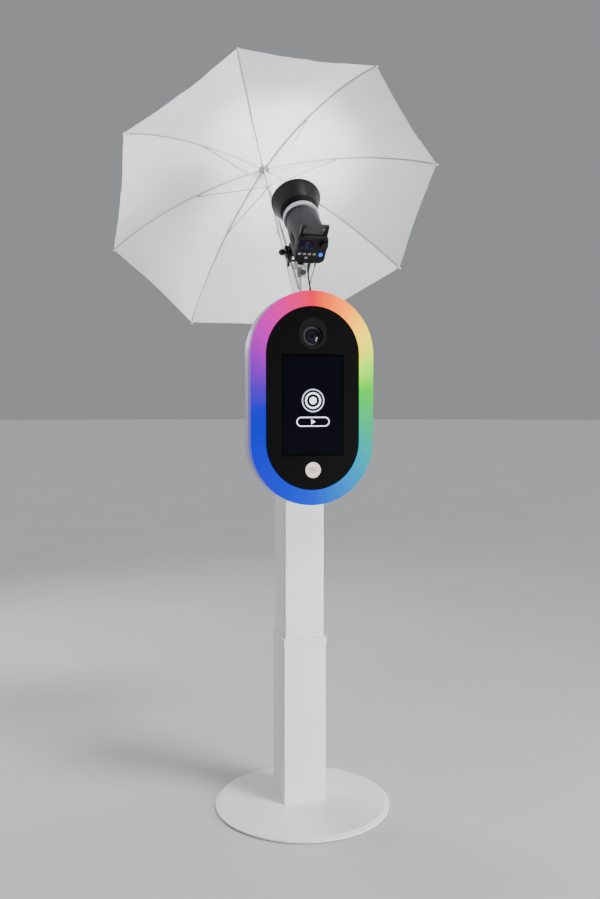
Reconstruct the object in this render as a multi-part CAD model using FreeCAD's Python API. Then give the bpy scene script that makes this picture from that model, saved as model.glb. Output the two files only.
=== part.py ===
"""Photo booth: a pill-shaped light-ring head on a telescopic square column and a round base,
with a studio flash and a white umbrella on a short pole above it.

Millimetres, +Z up, front towards -Y. Origin: centre of the base's underside.
"""
import FreeCAD
import Part

import math
import os

from FreeCAD import Placement, Rotation, Vector

os.makedirs("parts", exist_ok=True)

# ---------------------------------------------------------------- stand
PAD_RADIUS = 300.0
PAD_THICK = 2.5
BASE_RADIUS = 314.0
BASE_THICK = 11.5
BASE_BEVEL = 16.4          # width of the sloping rim, seen from above
BASE_EDGE = 5.5            # height of the upright rim under the bevel

COLUMN_Y = 45.0            # column axis, behind the base's centre
HEAD_Z = 1464.0            # height of the head's centre
UPPER_SIDE = 144.0
UPPER_WALL = 3.0
SLIDE_GAP = 2.0            # between the two tubes, on each side
LOWER_WALL = 4.0
LOWER_SIDE = UPPER_SIDE + 2.0 * (SLIDE_GAP + LOWER_WALL)
LOWER_TOP = 606.0
FOOT_THICK = 10.0
UPPER_BOTTOM = LOWER_TOP - 211.0
UPPER_TOP = HEAD_Z + 276.0
COLUMN_CORNER = 6.0        # outside corner radius of both tubes

COLLAR_WALL = 2.5
COLLAR_SIDE = LOWER_SIDE + 2.0 * COLLAR_WALL
COLLAR_LOW = LOWER_TOP - 21.4
COLLAR_TOP = LOWER_TOP + 6.4
COLLAR_GAP = 0.5           # between the collar's lip and the upper tube
BOSS_WIDTH = 40.0
BOSS_DEPTH = 14.0
LOCK_STEM_R = 6.0
LOCK_KNOB_R = 21.0
LOCK_KNOB_THICK = 20.0
LOCK_KNOB_GAP = 1.0        # between the boss and the knob
TIP_GAP = 0.3              # a clamping screw's tip stands this far off when it is slack

SCREW_R = 5.0
SCREW_HEAD_R = 8.0
SCREW_HEAD_THICK = 6.0
SCREW_SPACING = 90.0
SCREW_SOCKET_R = 3.6
SCREW_SOCKET_DEPTH = 3.6

# ---------------------------------------------------------------- head
HEAD_WIDTH = 434.0
HEAD_HEIGHT = 730.0
DIFFUSER_DEPTH = 40.0
SHELL_DEPTH = 59.0
BRACKET_THICK = 11.0       # spacer between the column and the head's back
BRACKET_WIDTH = 110.0
BRACKET_HEIGHT = 220.0
BRACKET_HOLE_AT = (38.0, 85.0)
BRACKET_HOLE_R = 4.5
HEAD_FRONT = COLUMN_Y - UPPER_SIDE / 2.0 - BRACKET_THICK - SHELL_DEPTH - DIFFUSER_DEPTH
RING_BAND = 52.0           # width of the glowing band round the front
HEAD_WALL = 3.0
DIFFUSER_ROUND = 5.0
SHELL_ROUND = 6.0
LEDGE = 5.0                # how far the shell's ledge reaches inside the band

PANEL_GAP = 0.4            # all round the front panel
PANEL_RECESS = 2.0
PANEL_THICK = 4.0
SKIRT_THICK = 2.0
FIT_GAP = 0.2              # round each piece let into the front panel

SCREEN_WIDTH = 219.0
SCREEN_HEIGHT = 346.0
SCREEN_DROP = 23.0         # screen centre below the head's centre
GLASS_PROUD = 0.3
DISPLAY_MARGIN = 4.5
DISPLAY_THICK = 16.0

WINDOW_WIDTH = 98.0
WINDOW_HEIGHT = 108.0
WINDOW_RISE = 220.0        # camera window's centre above the head's centre
WINDOW_PROUD = 0.8
WINDOW_FLANGE = 4.0
WINDOW_FLANGE_THICK = 2.0
WINDOW_TUBE_WALL = 2.5
WINDOW_TUBE = 17.0
LENS_RISE = 212.0
LENS_RECESS = 12.0         # lens front behind the head's front
LENS_R = 33.0
WINDOW_BORE_R = LENS_R + 1.5
LENS_LENGTH = 40.0
LENS_WAIST_R = LENS_R - 2.5    # barrel under the focus ring
FOCUS_START = 13.0
FOCUS_LENGTH = 14.0
FOCUS_R = LENS_R + 0.6
GLASS_R = LENS_R - 7.5
GLASS_SEAT = 7.0           # front glass's edge behind the lens front
GLASS_THICK = 4.0
GLASS_DOME = 3.0
LENS_LIP = 3.5
FOCUS_SIDE_GAP = 0.3
CAMERA_SIZE = (124.0, 40.0, 82.0)
SHELF_THICK = 4.0
SHELF_WIDTH = 100.0
SHELF_START = 4.0          # behind the lens's back end

BADGE_R = 27.0
BADGE_THICK = 1.8
BADGE_DROP = 244.0

LED_BAND = 12.0
LED_TAPE_THICK = 1.5
LED_COUNT = 60
LED_SIZE = 5.0
COMPUTER_SIZE = (180.0, 40.0, 120.0)
COMPUTER_Z = HEAD_Z - 164.0
SUPPLY_SIZE = (160.0, 38.0, 95.0)
SUPPLY_Z = HEAD_Z + 16.0
SERVICE_X = 125.0          # inlet and switch, beside the column
INLET_Z = HEAD_Z - 219.0
INLET_SIZE = (28.0, 20.0)
SWITCH_Z = INLET_Z + 42.0
SWITCH_R = 12.0
SWITCH_WIDTH = 20.0
SWITCH_TILT = 12.0
SWITCH_DEPTH = 6.0         # rocker's axis inside the shell's back
SWITCH_GAP = 0.6           # round the rocker in the shell
SWITCH_FLAT = 0.72         # share of the rocker's radius left under its flat face
INLET_FLANGE = 5.0
INLET_PROUD = 2.5
INLET_BODY = 24.0          # depth behind the shell's back
INLET_DEPTH = 17.0
INLET_WALL = 2.0
INLET_PINS = ((-7.0, -2.0), (0.0, 3.0), (7.0, -2.0))
FIN_COUNT = 14             # cooling slots in the computer's front
FIN_START = 8.0
FIN_PITCH = 12.0
FIN_SLOT = 6.0
FIN_DEPTH = 10.0
VENT_COUNT = 9
VENT_SPAN = (-180.0, -100.0)
VENT_RISE = 40.0           # lowest slot above the head's centre
VENT_PITCH = 12.0
VENT_HEIGHT = 4.5

# ---------------------------------------------------------------- pole and swivel
CAP_THICK = 8.0
CAP_TOP = UPPER_TOP + CAP_THICK
CAP_PLUG_DEPTH = 15.0
CAP_PLUG_WALL = 6.0
POLE_X = 10.0
POLE_Y = 50.0
POLE_R = 8.0
POLE_BOSS_R = POLE_R + 8.0
POLE_BOSS_HEIGHT = 26.0
CABLE_HOLE = (UPPER_SIDE / 2.0 - 25.0, COLUMN_Y + 12.0)
CABLE_HOLE_R = 16.0
ADAPTOR_R = POLE_R + 8.0
ADAPTOR_LOW = CAP_TOP + 148.0
POLE_TOP = ADAPTOR_LOW + 29.0
YOKE_FLOOR = POLE_TOP + 2.0
YOKE_FLOOR_THICK = 11.0
RUN_GAP = 0.06             # radial clearance of every running fit
LUG_WIDTH = 20.0
EAR_THICK = 8.0
EAR_GAP = 1.0
EAR_R = 13.0
PIVOT_R = 4.0
STEM_R = 3.0               # clamping screws of the swivel and the umbrella
KNOB_GAP = 3.0             # between a clamped part and its knob
ADAPTOR_KNOB_RISE = 14.0
ADAPTOR_KNOB_R = 10.0
ADAPTOR_KNOB_THICK = 12.0
TILT_GRIP_OUT = 20.0       # T-bar's stem, out from the yoke
TILT_GRIP_R = 8.0
TILT_GRIP_LENGTH = 14.0
TILT_BAR_R = 5.0
TILT_BAR_HALF = 22.0
TILT_NUT_THICK = 6.0

# ---------------------------------------------------------------- flash, on its own axis
TILT = 45.0                # flash and umbrella axis above the horizontal
FLASH_SIDE = 114.0
FLASH_CORNER = 24.0
FLASH_FRONT_SIDE = FLASH_SIDE + 5.0
FLASH_FRONT_CORNER = FLASH_FRONT_SIDE / 2.0 - 2.5
FLASH_WALL = 3.0
FLASH_LENGTH = 186.0
PANEL_DEPTH = 14.0
PIVOT_DOWN = FLASH_FRONT_SIDE / 2.0 + 18.3     # tilt pivot below the flash's axis
PIVOT_ALONG = 42.4         # and forward of its rear panel
PIVOT_BEHIND = 21.994      # tilt pivot behind the pole's axis
PIVOT_RISE = 29.968        # and above the yoke's floor
FLASH_X = POLE_X + 20.0    # flash's axis, to the right of the pole
BRACKET_PLATE = 5.0
PLATE_SPAN = (20.0, 140.0) # bracket's plate along the flash
PLATE_LEFT = 6.0           # beside the tilt lug
PLATE_RIGHT = 7.0          # past the flash's axis
HANDLE_GAP = 22.0
HANDLE_THICK = 10.0
HANDLE_WIDTH = 14.0
HANDLE_SPAN = 100.0
LUG_R = 14.0
LOCK_RING_R = 66.0
LOCK_RING_THICK = 20.0
NECK_R = 49.5
RIM_R = 90.7
RIM_ALONG = 306.0
DISH_WALL = 1.2
DISH_START = 4.0           # reflector's neck inside the lock ring
FLARE_START = 8.0          # neck's length in front of the lock ring
FLARE_LENGTH = 24.0        # steep shoulder between the neck and the bell
FLARE_OUT = 20.0
RIM_BAND = 4.0
RIM_LIP = 2.0
GRIP_COUNT = 24            # grooves round the lock ring
GRIP_R = 2.0
GRIP_START = 4.0
SOCKET_R = 42.0
SOCKET_THICK = 12.0
TUBE_RISE = 34.0           # ring tube in front of the housing
TUBE_RING_R = 28.0
TUBE_R = 4.5
TUBE_LEG_R = 3.0
LAMP_R = 11.0
LAMP_RISE = 38.0
DIAL_AT = (38.0, 27.0)
DIAL_R = 16.0
DIAL_THICK = 13.0
DIAL_LOBES = 18
SPINDLE_R = 4.0
BUTTON_AT = (35.0, -16.0)
BUTTON_R = 7.5
BUTTON_LENGTH = 8.0
BUTTON_GAP = 0.4
BUTTON_TRAVEL = 2.0
LCD_AT = (-21.0, 23.0)
LCD_SIZE = (57.0, 39.0)
LCD_DEPTH = 1.5
INLET_AT = (18.0, 45.0)    # across and along the flash's underside
PLUG_LENGTH = 36.0
PLUG_SIZE = (22.0, 17.0)
RELIEF_LENGTH = 12.0
RELIEF_R = 7.0

# ---------------------------------------------------------------- umbrella, on a parallel axis
SHAFT_ASIDE = -48.0        # shaft's axis from the flash's axis
SHAFT_DOWN = FLASH_FRONT_SIDE / 2.0 + 33.131
HUB_ALONG = 654.074        # rib hinges forward of the flash's rear panel
SHAFT_R = 4.0
SHAFT_LENGTH = 750.0
HOLDER_START = 85.0
HOLDER_LENGTH = 50.0
HOLDER_SIZE = 22.0
WEB_INSET = 12.0           # web shorter than the clamp block at each end
WEB_LOW = 4.0
BALL_R = 12.0
RIB_COUNT = 8
RIB_PHASE = 24.0
RIB_R = 2.2
STRETCHER_R = 1.9
HINGE_R = 12.0             # rib and stretcher pivots from the shaft's axis
ELBOW = (285.0, 58.0)      # rib to stretcher pivot: out from the axis, below the crown
TIP = (642.0, 261.0)
ELBOW_DROP = 6.0           # elbow pivot below the rib's centre line
BLADE = 1.6
PIN_R = 1.0
ELBOW_PIN_R = 1.2
BEAD_R = RIB_R + 1.3       # at each rib's tip
HINGE_EYE_R = 2.6
HINGE_BLADE = 13.0
ELBOW_EYE_R = 4.0
FORK = 12.0
CHEEK = 1.0
FORK_GAP = 0.35            # between a rib's lug and each cheek
STRUT_TRIM = 10.0          # stretcher's tube starts this far from its inner pivot
SLOT = 2.4
CROWN_R = 15.0
CROWN_HALF = 6.0
NECK_ROD_R = 7.0
CAP_DISC_R = 24.0
CAP_DISC_THICK = 2.5
CAP_DISC_RISE = 7.5
FERRULE = (5.0, 3.0, 22.0) # radius below, radius above, length
RUNNER_HALF = 7.0
SLEEVE_R = 8.5
SLEEVE_LENGTH = 19.5
CANOPY_THICK = 1.0
CANOPY_GAP = 0.6

# ---------------------------------------------------------------- cords (route points by hand)
MAINS_R = 3.2
MAINS_ROUTE = [
    (48.0, 86.35, 1946.29),
    (48.0, 98.35, 1934.29),
    (49.5, 102.0, 1908.0),
    (51.5, 92.0, 1878.0),
    (52.0, 76.0, 1852.0),
    (50.0, 65.0, 1823.0),
    (47.5, 60.5, 1790.0),
    (47.0, 57.0, 1752.0),
    (45.0, 55.5, 1716.0),
]
SYNC_R = 1.5
SYNC_ROUTE = [
    (62.0, 54.39, 1945.44),
    (62.0, 63.17, 1936.57),
    (59.0, 66.0, 1918.0),
    (49.0, 56.0, 1899.0),
    (38.5, 43.0, 1872.0),
    (38.0, 45.0, 1848.0),
    (39.5, 49.5, 1823.0),
    (40.5, 51.0, 1794.0),
    (39.5, 52.5, 1762.0),
    (40.0, 53.0, 1728.0),
]
SYNC_JACK_AT = (32.0, 21.8)
SYNC_JACK_R = 3.2
SYNC_JACK_LENGTH = 16.5

X = Vector(1, 0, 0)
Y = Vector(0, 1, 0)
Z = Vector(0, 0, 1)

# The flash is placed from its tilt pivot, and the umbrella from the flash.
LEAN = Rotation(X, TILT - 90.0)
PIVOT = Vector(FLASH_X, POLE_Y + PIVOT_BEHIND, YOKE_FLOOR + PIVOT_RISE)
FLASH_POINT = PIVOT - LEAN.multVec(Vector(0, PIVOT_DOWN, PIVOT_ALONG))
FLASH_FRAME = Placement(FLASH_POINT, LEAN)
HUB = FLASH_FRAME.multVec(Vector(SHAFT_ASIDE, SHAFT_DOWN, HUB_ALONG))
UMBRELLA_FRAME = Placement(HUB, LEAN)


# ---------------------------------------------------------------- shapes
def save(name, *solids):
    """Write one node, as one solid or as a group of solids."""
    shape = solids[0] if len(solids) == 1 else Part.makeCompound(list(solids))
    if not shape.isValid():
        raise ValueError(name + " is not valid")
    print(f"{name:18s} solids {len(shape.Solids):3d}  volume {shape.Volume / 1000.0:9.1f} cm3")
    shape.exportStep(f"parts/{name}.step")


def block(x0, x1, y0, y1, z0, z1):
    """Box between two corners."""
    return Part.makeBox(x1 - x0, y1 - y0, z1 - z0, Vector(x0, y0, z0))


def rod(start, axis, radius, length):
    """Cylinder from a point along an axis."""
    return Part.makeCylinder(radius, length, Vector(*start), Vector(*axis))


def revolved(points, base, axis):
    """Solid turned from a closed outline of straight runs."""
    outline = Part.makePolygon([Vector(*p) for p in points + points[:1]])
    return Part.Face(outline).revolve(Vector(*base), Vector(*axis), 360)


def in_frame(shape, frame):
    """Rigid copy of a shape, moved from an axis of its own into the object's frame."""
    return shape.transformed(frame.toMatrix())


def pill(width, height, y0, y1, centre_z=HEAD_Z, centre_x=0.0):
    """Upright stadium, extruded along Y."""
    r = width / 2.0
    half = (height - width) / 2.0
    low = centre_z - half
    high = centre_z + half
    right = centre_x + r
    left = centre_x - r
    edges = [
        Part.LineSegment(Vector(right, y0, low), Vector(right, y0, high)).toShape(),
        Part.Arc(Vector(right, y0, high), Vector(centre_x, y0, high + r), Vector(left, y0, high)).toShape(),
        Part.LineSegment(Vector(left, y0, high), Vector(left, y0, low)).toShape(),
        Part.Arc(Vector(left, y0, low), Vector(centre_x, y0, low - r), Vector(right, y0, low)).toShape(),
    ]
    return Part.Face(Part.Wire(edges)).extrude(Vector(0, y1 - y0, 0))


def rounded_square(side, corner, z):
    """Square outline with round corners, centred on the Z axis."""
    h = side / 2.0
    k = h - corner
    q = corner * math.sqrt(0.5)
    edges = []
    for turn in range(4):
        a = math.radians(90.0 * turn)
        ca, sa = math.cos(a), math.sin(a)

        def at(across, along):
            return Vector(across * ca - along * sa, across * sa + along * ca, z)

        edges.append(Part.LineSegment(at(h, -k), at(h, k)).toShape())
        edges.append(Part.Arc(at(h, k), at(k + q, k + q), at(k, h)).toShape())
    return Part.Wire(edges)


def square_prism(side, corner, z0, z1):
    """Upright square bar with round corners, on the column's axis."""
    bar = Part.Face(rounded_square(side, corner, z0)).extrude(Vector(0, 0, z1 - z0))
    bar.translate(Vector(0, COLUMN_Y, 0))
    return bar


def star_knob(start, axis, radius, thick, lobes=6):
    """Hand knob with scalloped sides, along an axis from its inner face."""
    knob = Part.makeCylinder(radius, thick)
    scallop_r = radius * 0.28
    for i in range(lobes):
        a = 2.0 * math.pi * i / lobes
        reach = radius * 1.1
        scallop = Part.makeCylinder(scallop_r, thick, Vector(reach * math.cos(a), reach * math.sin(a), 0))
        knob = knob.cut(scallop)
    turn = Rotation(Z, Vector(*axis))
    return in_frame(knob, Placement(Vector(*start), turn))


def fillet_outline(shape, y, radius, reach):
    """Round the edges of a plate's outline that lie in the plane y and reach out far enough."""
    edges = []
    for edge in shape.Edges:
        box = edge.BoundBox
        flat = abs(box.YMin - y) < 1e-4 and abs(box.YMax - y) < 1e-4
        if flat and max(abs(box.XMin), abs(box.XMax)) > reach:
            edges.append(edge)
    return shape.makeFillet(radius, edges)


def cord_tube(points, radius, name):
    """Tube of straight runs joined by tangent arcs, each as large as its runs allow."""
    route = [Vector(*p) for p in points]
    edges = []
    here = route[0]
    length = 0.0
    radii = []
    for before, corner, after in zip(route, route[1:], route[2:]):
        run_in = before - corner
        run_out = after - corner
        shorter = min(run_in.Length, run_out.Length)
        run_in.normalize()
        run_out.normalize()
        half_turn = (math.pi - run_in.getAngle(run_out)) / 2.0
        bend = 0.45 * shorter / math.tan(half_turn)
        radii.append(bend)
        start = corner + run_in * (0.45 * shorter)
        end = corner + run_out * (0.45 * shorter)
        inward = run_in + run_out
        inward.normalize()
        middle = corner + inward * (bend / math.cos(half_turn) - bend)
        edges.append(Part.LineSegment(here, start).toShape())
        edges.append(Part.Arc(start, middle, end).toShape())
        length += (start - here).Length + 2.0 * half_turn * bend
        here = end
    edges.append(Part.LineSegment(here, route[-1]).toShape())
    length += (route[-1] - here).Length
    first = route[1] - route[0]
    section = Part.Wire(Part.makeCircle(radius, route[0], first))
    tube = Part.Wire(edges).makePipeShell([section], True, False)
    wanted = math.pi * radius ** 2 * length
    print(f"{name}: length {length:.1f}, volume/section*length {tube.Volume / wanted:.4f}, "
          f"radii {[round(r) for r in radii]}")
    return tube


# ---------------------------------------------------------------- stand
BASE_TOP = PAD_THICK + BASE_THICK
SCREW_PLACES = [
    (sx * SCREW_SPACING / 2.0, COLUMN_Y + sy * SCREW_SPACING / 2.0)
    for sx in (-1, 1)
    for sy in (-1, 1)
]
LOCK_Z = (COLLAR_LOW + LOWER_TOP) / 2.0
UPPER_FACE = COLUMN_Y + UPPER_SIDE / 2.0
BOSS_FACE = COLUMN_Y + COLLAR_SIDE / 2.0 + BOSS_DEPTH


def make_base():
    """Rubber pad, bevelled steel plate and the screws that hold the column."""
    save("base_pad", rod((0, 0, 0), (0, 0, 1), PAD_RADIUS, PAD_THICK))
    rim = PAD_THICK + BASE_EDGE
    plate = revolved(
        [
            (0, 0, PAD_THICK),
            (BASE_RADIUS, 0, PAD_THICK),
            (BASE_RADIUS, 0, rim),
            (BASE_RADIUS - BASE_BEVEL, 0, BASE_TOP),
            (0, 0, BASE_TOP),
        ],
        (0, 0, 0),
        (0, 0, 1),
    )
    screws = []
    for x, y in SCREW_PLACES:
        head = rod((x, y, PAD_THICK), (0, 0, 1), SCREW_HEAD_R, SCREW_HEAD_THICK)
        shank_start = PAD_THICK + SCREW_HEAD_THICK
        shank = rod((x, y, shank_start), (0, 0, 1), SCREW_R, BASE_TOP + FOOT_THICK - shank_start)
        socket = rod((x, y, PAD_THICK), (0, 0, 1), SCREW_SOCKET_R, SCREW_SOCKET_DEPTH)
        screw = head.fuse(shank)
        plate = plate.cut(screw)
        screws.append(screw.cut(socket))
    save("base_plate", plate)
    save("stand_screws", *screws)


def make_lower_column():
    """Outer square tube, with the foot plate welded inside its lower end."""
    inner = LOWER_SIDE - 2.0 * LOWER_WALL
    corner = COLUMN_CORNER - LOWER_WALL
    tube = square_prism(LOWER_SIDE, COLUMN_CORNER, BASE_TOP, LOWER_TOP)
    tube = tube.cut(square_prism(inner, corner, BASE_TOP + FOOT_THICK, LOWER_TOP))
    for x, y in SCREW_PLACES:
        tube = tube.cut(rod((x, y, BASE_TOP), (0, 0, 1), SCREW_R, FOOT_THICK))
    tube = tube.cut(rod((0, UPPER_FACE, LOCK_Z), (0, 1, 0), LOCK_STEM_R + RUN_GAP, LOWER_SIDE))
    save("lower_column", tube)


def make_collar():
    """Cast collar round the top of the lower tube, with a threaded boss behind."""
    collar = square_prism(COLLAR_SIDE, COLUMN_CORNER, COLLAR_LOW, COLLAR_TOP)
    boss = block(
        -BOSS_WIDTH / 2.0, BOSS_WIDTH / 2.0,
        BOSS_FACE - BOSS_DEPTH - 2.0, BOSS_FACE,
        COLLAR_LOW, COLLAR_TOP,
    )
    collar = collar.fuse(boss).removeSplitter()
    collar = collar.cut(square_prism(LOWER_SIDE, COLUMN_CORNER, COLLAR_LOW, LOWER_TOP))
    lip = UPPER_SIDE + 2.0 * COLLAR_GAP
    collar = collar.cut(square_prism(lip, COLUMN_CORNER + COLLAR_GAP, LOWER_TOP, COLLAR_TOP))
    collar = collar.cut(rod((0, UPPER_FACE, LOCK_Z), (0, 1, 0), LOCK_STEM_R + RUN_GAP, LOWER_SIDE))
    save("column_collar", collar)
    stem_start = UPPER_FACE + TIP_GAP
    knob_face = BOSS_FACE + LOCK_KNOB_GAP
    stem = rod((0, stem_start, LOCK_Z), (0, 1, 0), LOCK_STEM_R, knob_face - stem_start)
    knob = star_knob((0, knob_face, LOCK_Z), (0, 1, 0), LOCK_KNOB_R, LOCK_KNOB_THICK)
    save("column_lock_knob", stem.fuse(knob))


def make_upper_column():
    """Inner square tube that slides in the lower one."""
    inner = UPPER_SIDE - 2.0 * UPPER_WALL
    tube = square_prism(UPPER_SIDE, COLUMN_CORNER, UPPER_BOTTOM, UPPER_TOP)
    save("upper_column", tube.cut(square_prism(inner, COLUMN_CORNER - UPPER_WALL, UPPER_BOTTOM, UPPER_TOP)))


# ---------------------------------------------------------------- head
DIFFUSER_BACK = HEAD_FRONT + DIFFUSER_DEPTH
HEAD_BACK = DIFFUSER_BACK + SHELL_DEPTH
SHELL_INSIDE = HEAD_BACK - HEAD_WALL
INNER_WIDTH = HEAD_WIDTH - 2.0 * RING_BAND
INNER_HEIGHT = HEAD_HEIGHT - 2.0 * RING_BAND
PANEL_FACE = HEAD_FRONT + PANEL_RECESS
PANEL_BACK = PANEL_FACE + PANEL_THICK
SCREEN_Z = HEAD_Z - SCREEN_DROP
WINDOW_Z = HEAD_Z + WINDOW_RISE
LENS_Z = HEAD_Z + LENS_RISE
LENS_FRONT = HEAD_FRONT + LENS_RECESS
LENS_BACK = LENS_FRONT + LENS_LENGTH
CAMERA_LOW = LENS_Z - CAMERA_SIZE[2] / 2.0


def make_bracket():
    """Spacer plate between the column's front and the head's back."""
    half_w = BRACKET_WIDTH / 2.0
    half_h = BRACKET_HEIGHT / 2.0
    face = COLUMN_Y - UPPER_SIDE / 2.0
    plate = block(-half_w, half_w, HEAD_BACK, face, HEAD_Z - half_h, HEAD_Z + half_h)
    across, up = BRACKET_HOLE_AT
    for x in (-across, across):
        for z in (HEAD_Z - up, HEAD_Z + up):
            plate = plate.cut(rod((x, HEAD_BACK, z), (0, 1, 0), BRACKET_HOLE_R, BRACKET_THICK))
    save("head_bracket", plate)


def make_rear_shell():
    """Pressed tub with a ledge round its front, vents, a camera shelf and two cut-outs."""
    shell = pill(HEAD_WIDTH, HEAD_HEIGHT, DIFFUSER_BACK, HEAD_BACK)
    shell = fillet_outline(shell, HEAD_BACK, SHELL_ROUND, HEAD_WIDTH / 2.0 - 1.0)
    ledge_back = DIFFUSER_BACK + HEAD_WALL
    hollow_w = HEAD_WIDTH - 2.0 * HEAD_WALL
    hollow_h = HEAD_HEIGHT - 2.0 * HEAD_WALL
    shell = shell.cut(pill(hollow_w, hollow_h, ledge_back, SHELL_INSIDE))
    shell = shell.cut(pill(INNER_WIDTH - 2.0 * LEDGE, INNER_HEIGHT - 2.0 * LEDGE, DIFFUSER_BACK, ledge_back))
    for i in range(VENT_COUNT):
        z = HEAD_Z + VENT_RISE + VENT_PITCH * i
        shell = shell.cut(block(VENT_SPAN[0], VENT_SPAN[1], SHELL_INSIDE, HEAD_BACK, z, z + VENT_HEIGHT))
    half_w = INLET_SIZE[0] / 2.0
    half_h = INLET_SIZE[1] / 2.0
    shell = shell.cut(block(
        SERVICE_X - half_w, SERVICE_X + half_w, SHELL_INSIDE, HEAD_BACK, INLET_Z - half_h, INLET_Z + half_h,
    ))
    half = SWITCH_WIDTH / 2.0 + SWITCH_GAP
    reach = SWITCH_R + SWITCH_GAP
    shell = shell.cut(block(
        SERVICE_X - half, SERVICE_X + half, SHELL_INSIDE, HEAD_BACK, SWITCH_Z - reach, SWITCH_Z + reach,
    ))
    half = SHELF_WIDTH / 2.0
    start = LENS_BACK + SHELF_START
    shelf = block(-half, half, start, SHELL_INSIDE, CAMERA_LOW - SHELF_THICK, CAMERA_LOW)
    save("rear_shell", shell.fuse(shelf))


def make_light_ring():
    """Translucent channel round the front, and the lamp tape behind it."""
    ring = pill(HEAD_WIDTH, HEAD_HEIGHT, HEAD_FRONT, DIFFUSER_BACK)
    ring = fillet_outline(ring, HEAD_FRONT, DIFFUSER_ROUND, HEAD_WIDTH / 2.0 - 1.0)
    inside = HEAD_FRONT + HEAD_WALL
    wide = pill(HEAD_WIDTH - 2.0 * HEAD_WALL, HEAD_HEIGHT - 2.0 * HEAD_WALL, inside, DIFFUSER_BACK)
    narrow = pill(INNER_WIDTH + 2.0 * HEAD_WALL, INNER_HEIGHT + 2.0 * HEAD_WALL, inside, DIFFUSER_BACK)
    ring = ring.cut(wide.cut(narrow))
    save("diffuser_ring", ring.cut(pill(INNER_WIDTH, INNER_HEIGHT, HEAD_FRONT, DIFFUSER_BACK)))

    mid_w = HEAD_WIDTH - RING_BAND
    mid_h = HEAD_HEIGHT - RING_BAND
    face = DIFFUSER_BACK - LED_TAPE_THICK
    tape = pill(mid_w + LED_BAND, mid_h + LED_BAND, face, DIFFUSER_BACK)
    tape = tape.cut(pill(mid_w - LED_BAND, mid_h - LED_BAND, face, DIFFUSER_BACK))
    lamps = []
    radius = mid_w / 2.0
    straight = mid_h - mid_w
    around = 2.0 * straight + 2.0 * math.pi * radius
    for i in range(LED_COUNT):
        x, z, angle = on_pill(around * (i + 0.5) / LED_COUNT, radius, straight)
        lamp = Part.makeBox(LED_SIZE, LED_TAPE_THICK, LED_SIZE, Vector(-LED_SIZE / 2.0, 0, -LED_SIZE / 2.0))
        lamp.rotate(Vector(0, 0, 0), Y, -angle)
        lamp.translate(Vector(x, face - LED_TAPE_THICK, HEAD_Z + z))
        lamps.append(lamp)
    save("led_strip", tape, *lamps)


def on_pill(s, radius, straight):
    """Point and heading at a distance s along a pill's line, from its right side's foot."""
    arc = math.pi * radius
    half = straight / 2.0
    if s < straight:
        return radius, s - half, 0.0
    s -= straight
    if s < arc:
        a = s / radius
        return radius * math.cos(a), half + radius * math.sin(a), math.degrees(a)
    s -= arc
    if s < straight:
        return -radius, half - s, 180.0
    a = (s - straight) / radius
    return -radius * math.cos(a), -half - radius * math.sin(a), 180.0 + math.degrees(a)


def make_front_panel():
    """Black sheet-metal tray with cut-outs for the screen and the camera window."""
    w = INNER_WIDTH - 2.0 * PANEL_GAP
    h = INNER_HEIGHT - 2.0 * PANEL_GAP
    panel = pill(w, h, PANEL_FACE, DIFFUSER_BACK)
    panel = panel.cut(pill(w - 2.0 * SKIRT_THICK, h - 2.0 * SKIRT_THICK, PANEL_BACK, DIFFUSER_BACK))
    half_w = SCREEN_WIDTH / 2.0 + FIT_GAP
    half_h = SCREEN_HEIGHT / 2.0 + FIT_GAP
    panel = panel.cut(block(-half_w, half_w, PANEL_FACE, PANEL_BACK, SCREEN_Z - half_h, SCREEN_Z + half_h))
    gap = 2.0 * FIT_GAP
    panel = panel.cut(pill(WINDOW_WIDTH + gap, WINDOW_HEIGHT + gap, PANEL_FACE, PANEL_BACK, WINDOW_Z))
    save("front_panel", panel)

    badge = rod((0, PANEL_FACE - BADGE_THICK, HEAD_Z - BADGE_DROP), (0, 1, 0), BADGE_R, BADGE_THICK)
    save("badge", badge)


def make_display():
    """Touch glass let into the front panel, and the display module behind it."""
    half_w = SCREEN_WIDTH / 2.0
    half_h = SCREEN_HEIGHT / 2.0
    face = PANEL_FACE - GLASS_PROUD
    save("touch_glass", block(-half_w, half_w, face, PANEL_BACK, SCREEN_Z - half_h, SCREEN_Z + half_h))
    half_w += DISPLAY_MARGIN
    half_h += DISPLAY_MARGIN
    back = PANEL_BACK + DISPLAY_THICK
    save("display_module", block(-half_w, half_w, PANEL_BACK, back, SCREEN_Z - half_h, SCREEN_Z + half_h))


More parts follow.
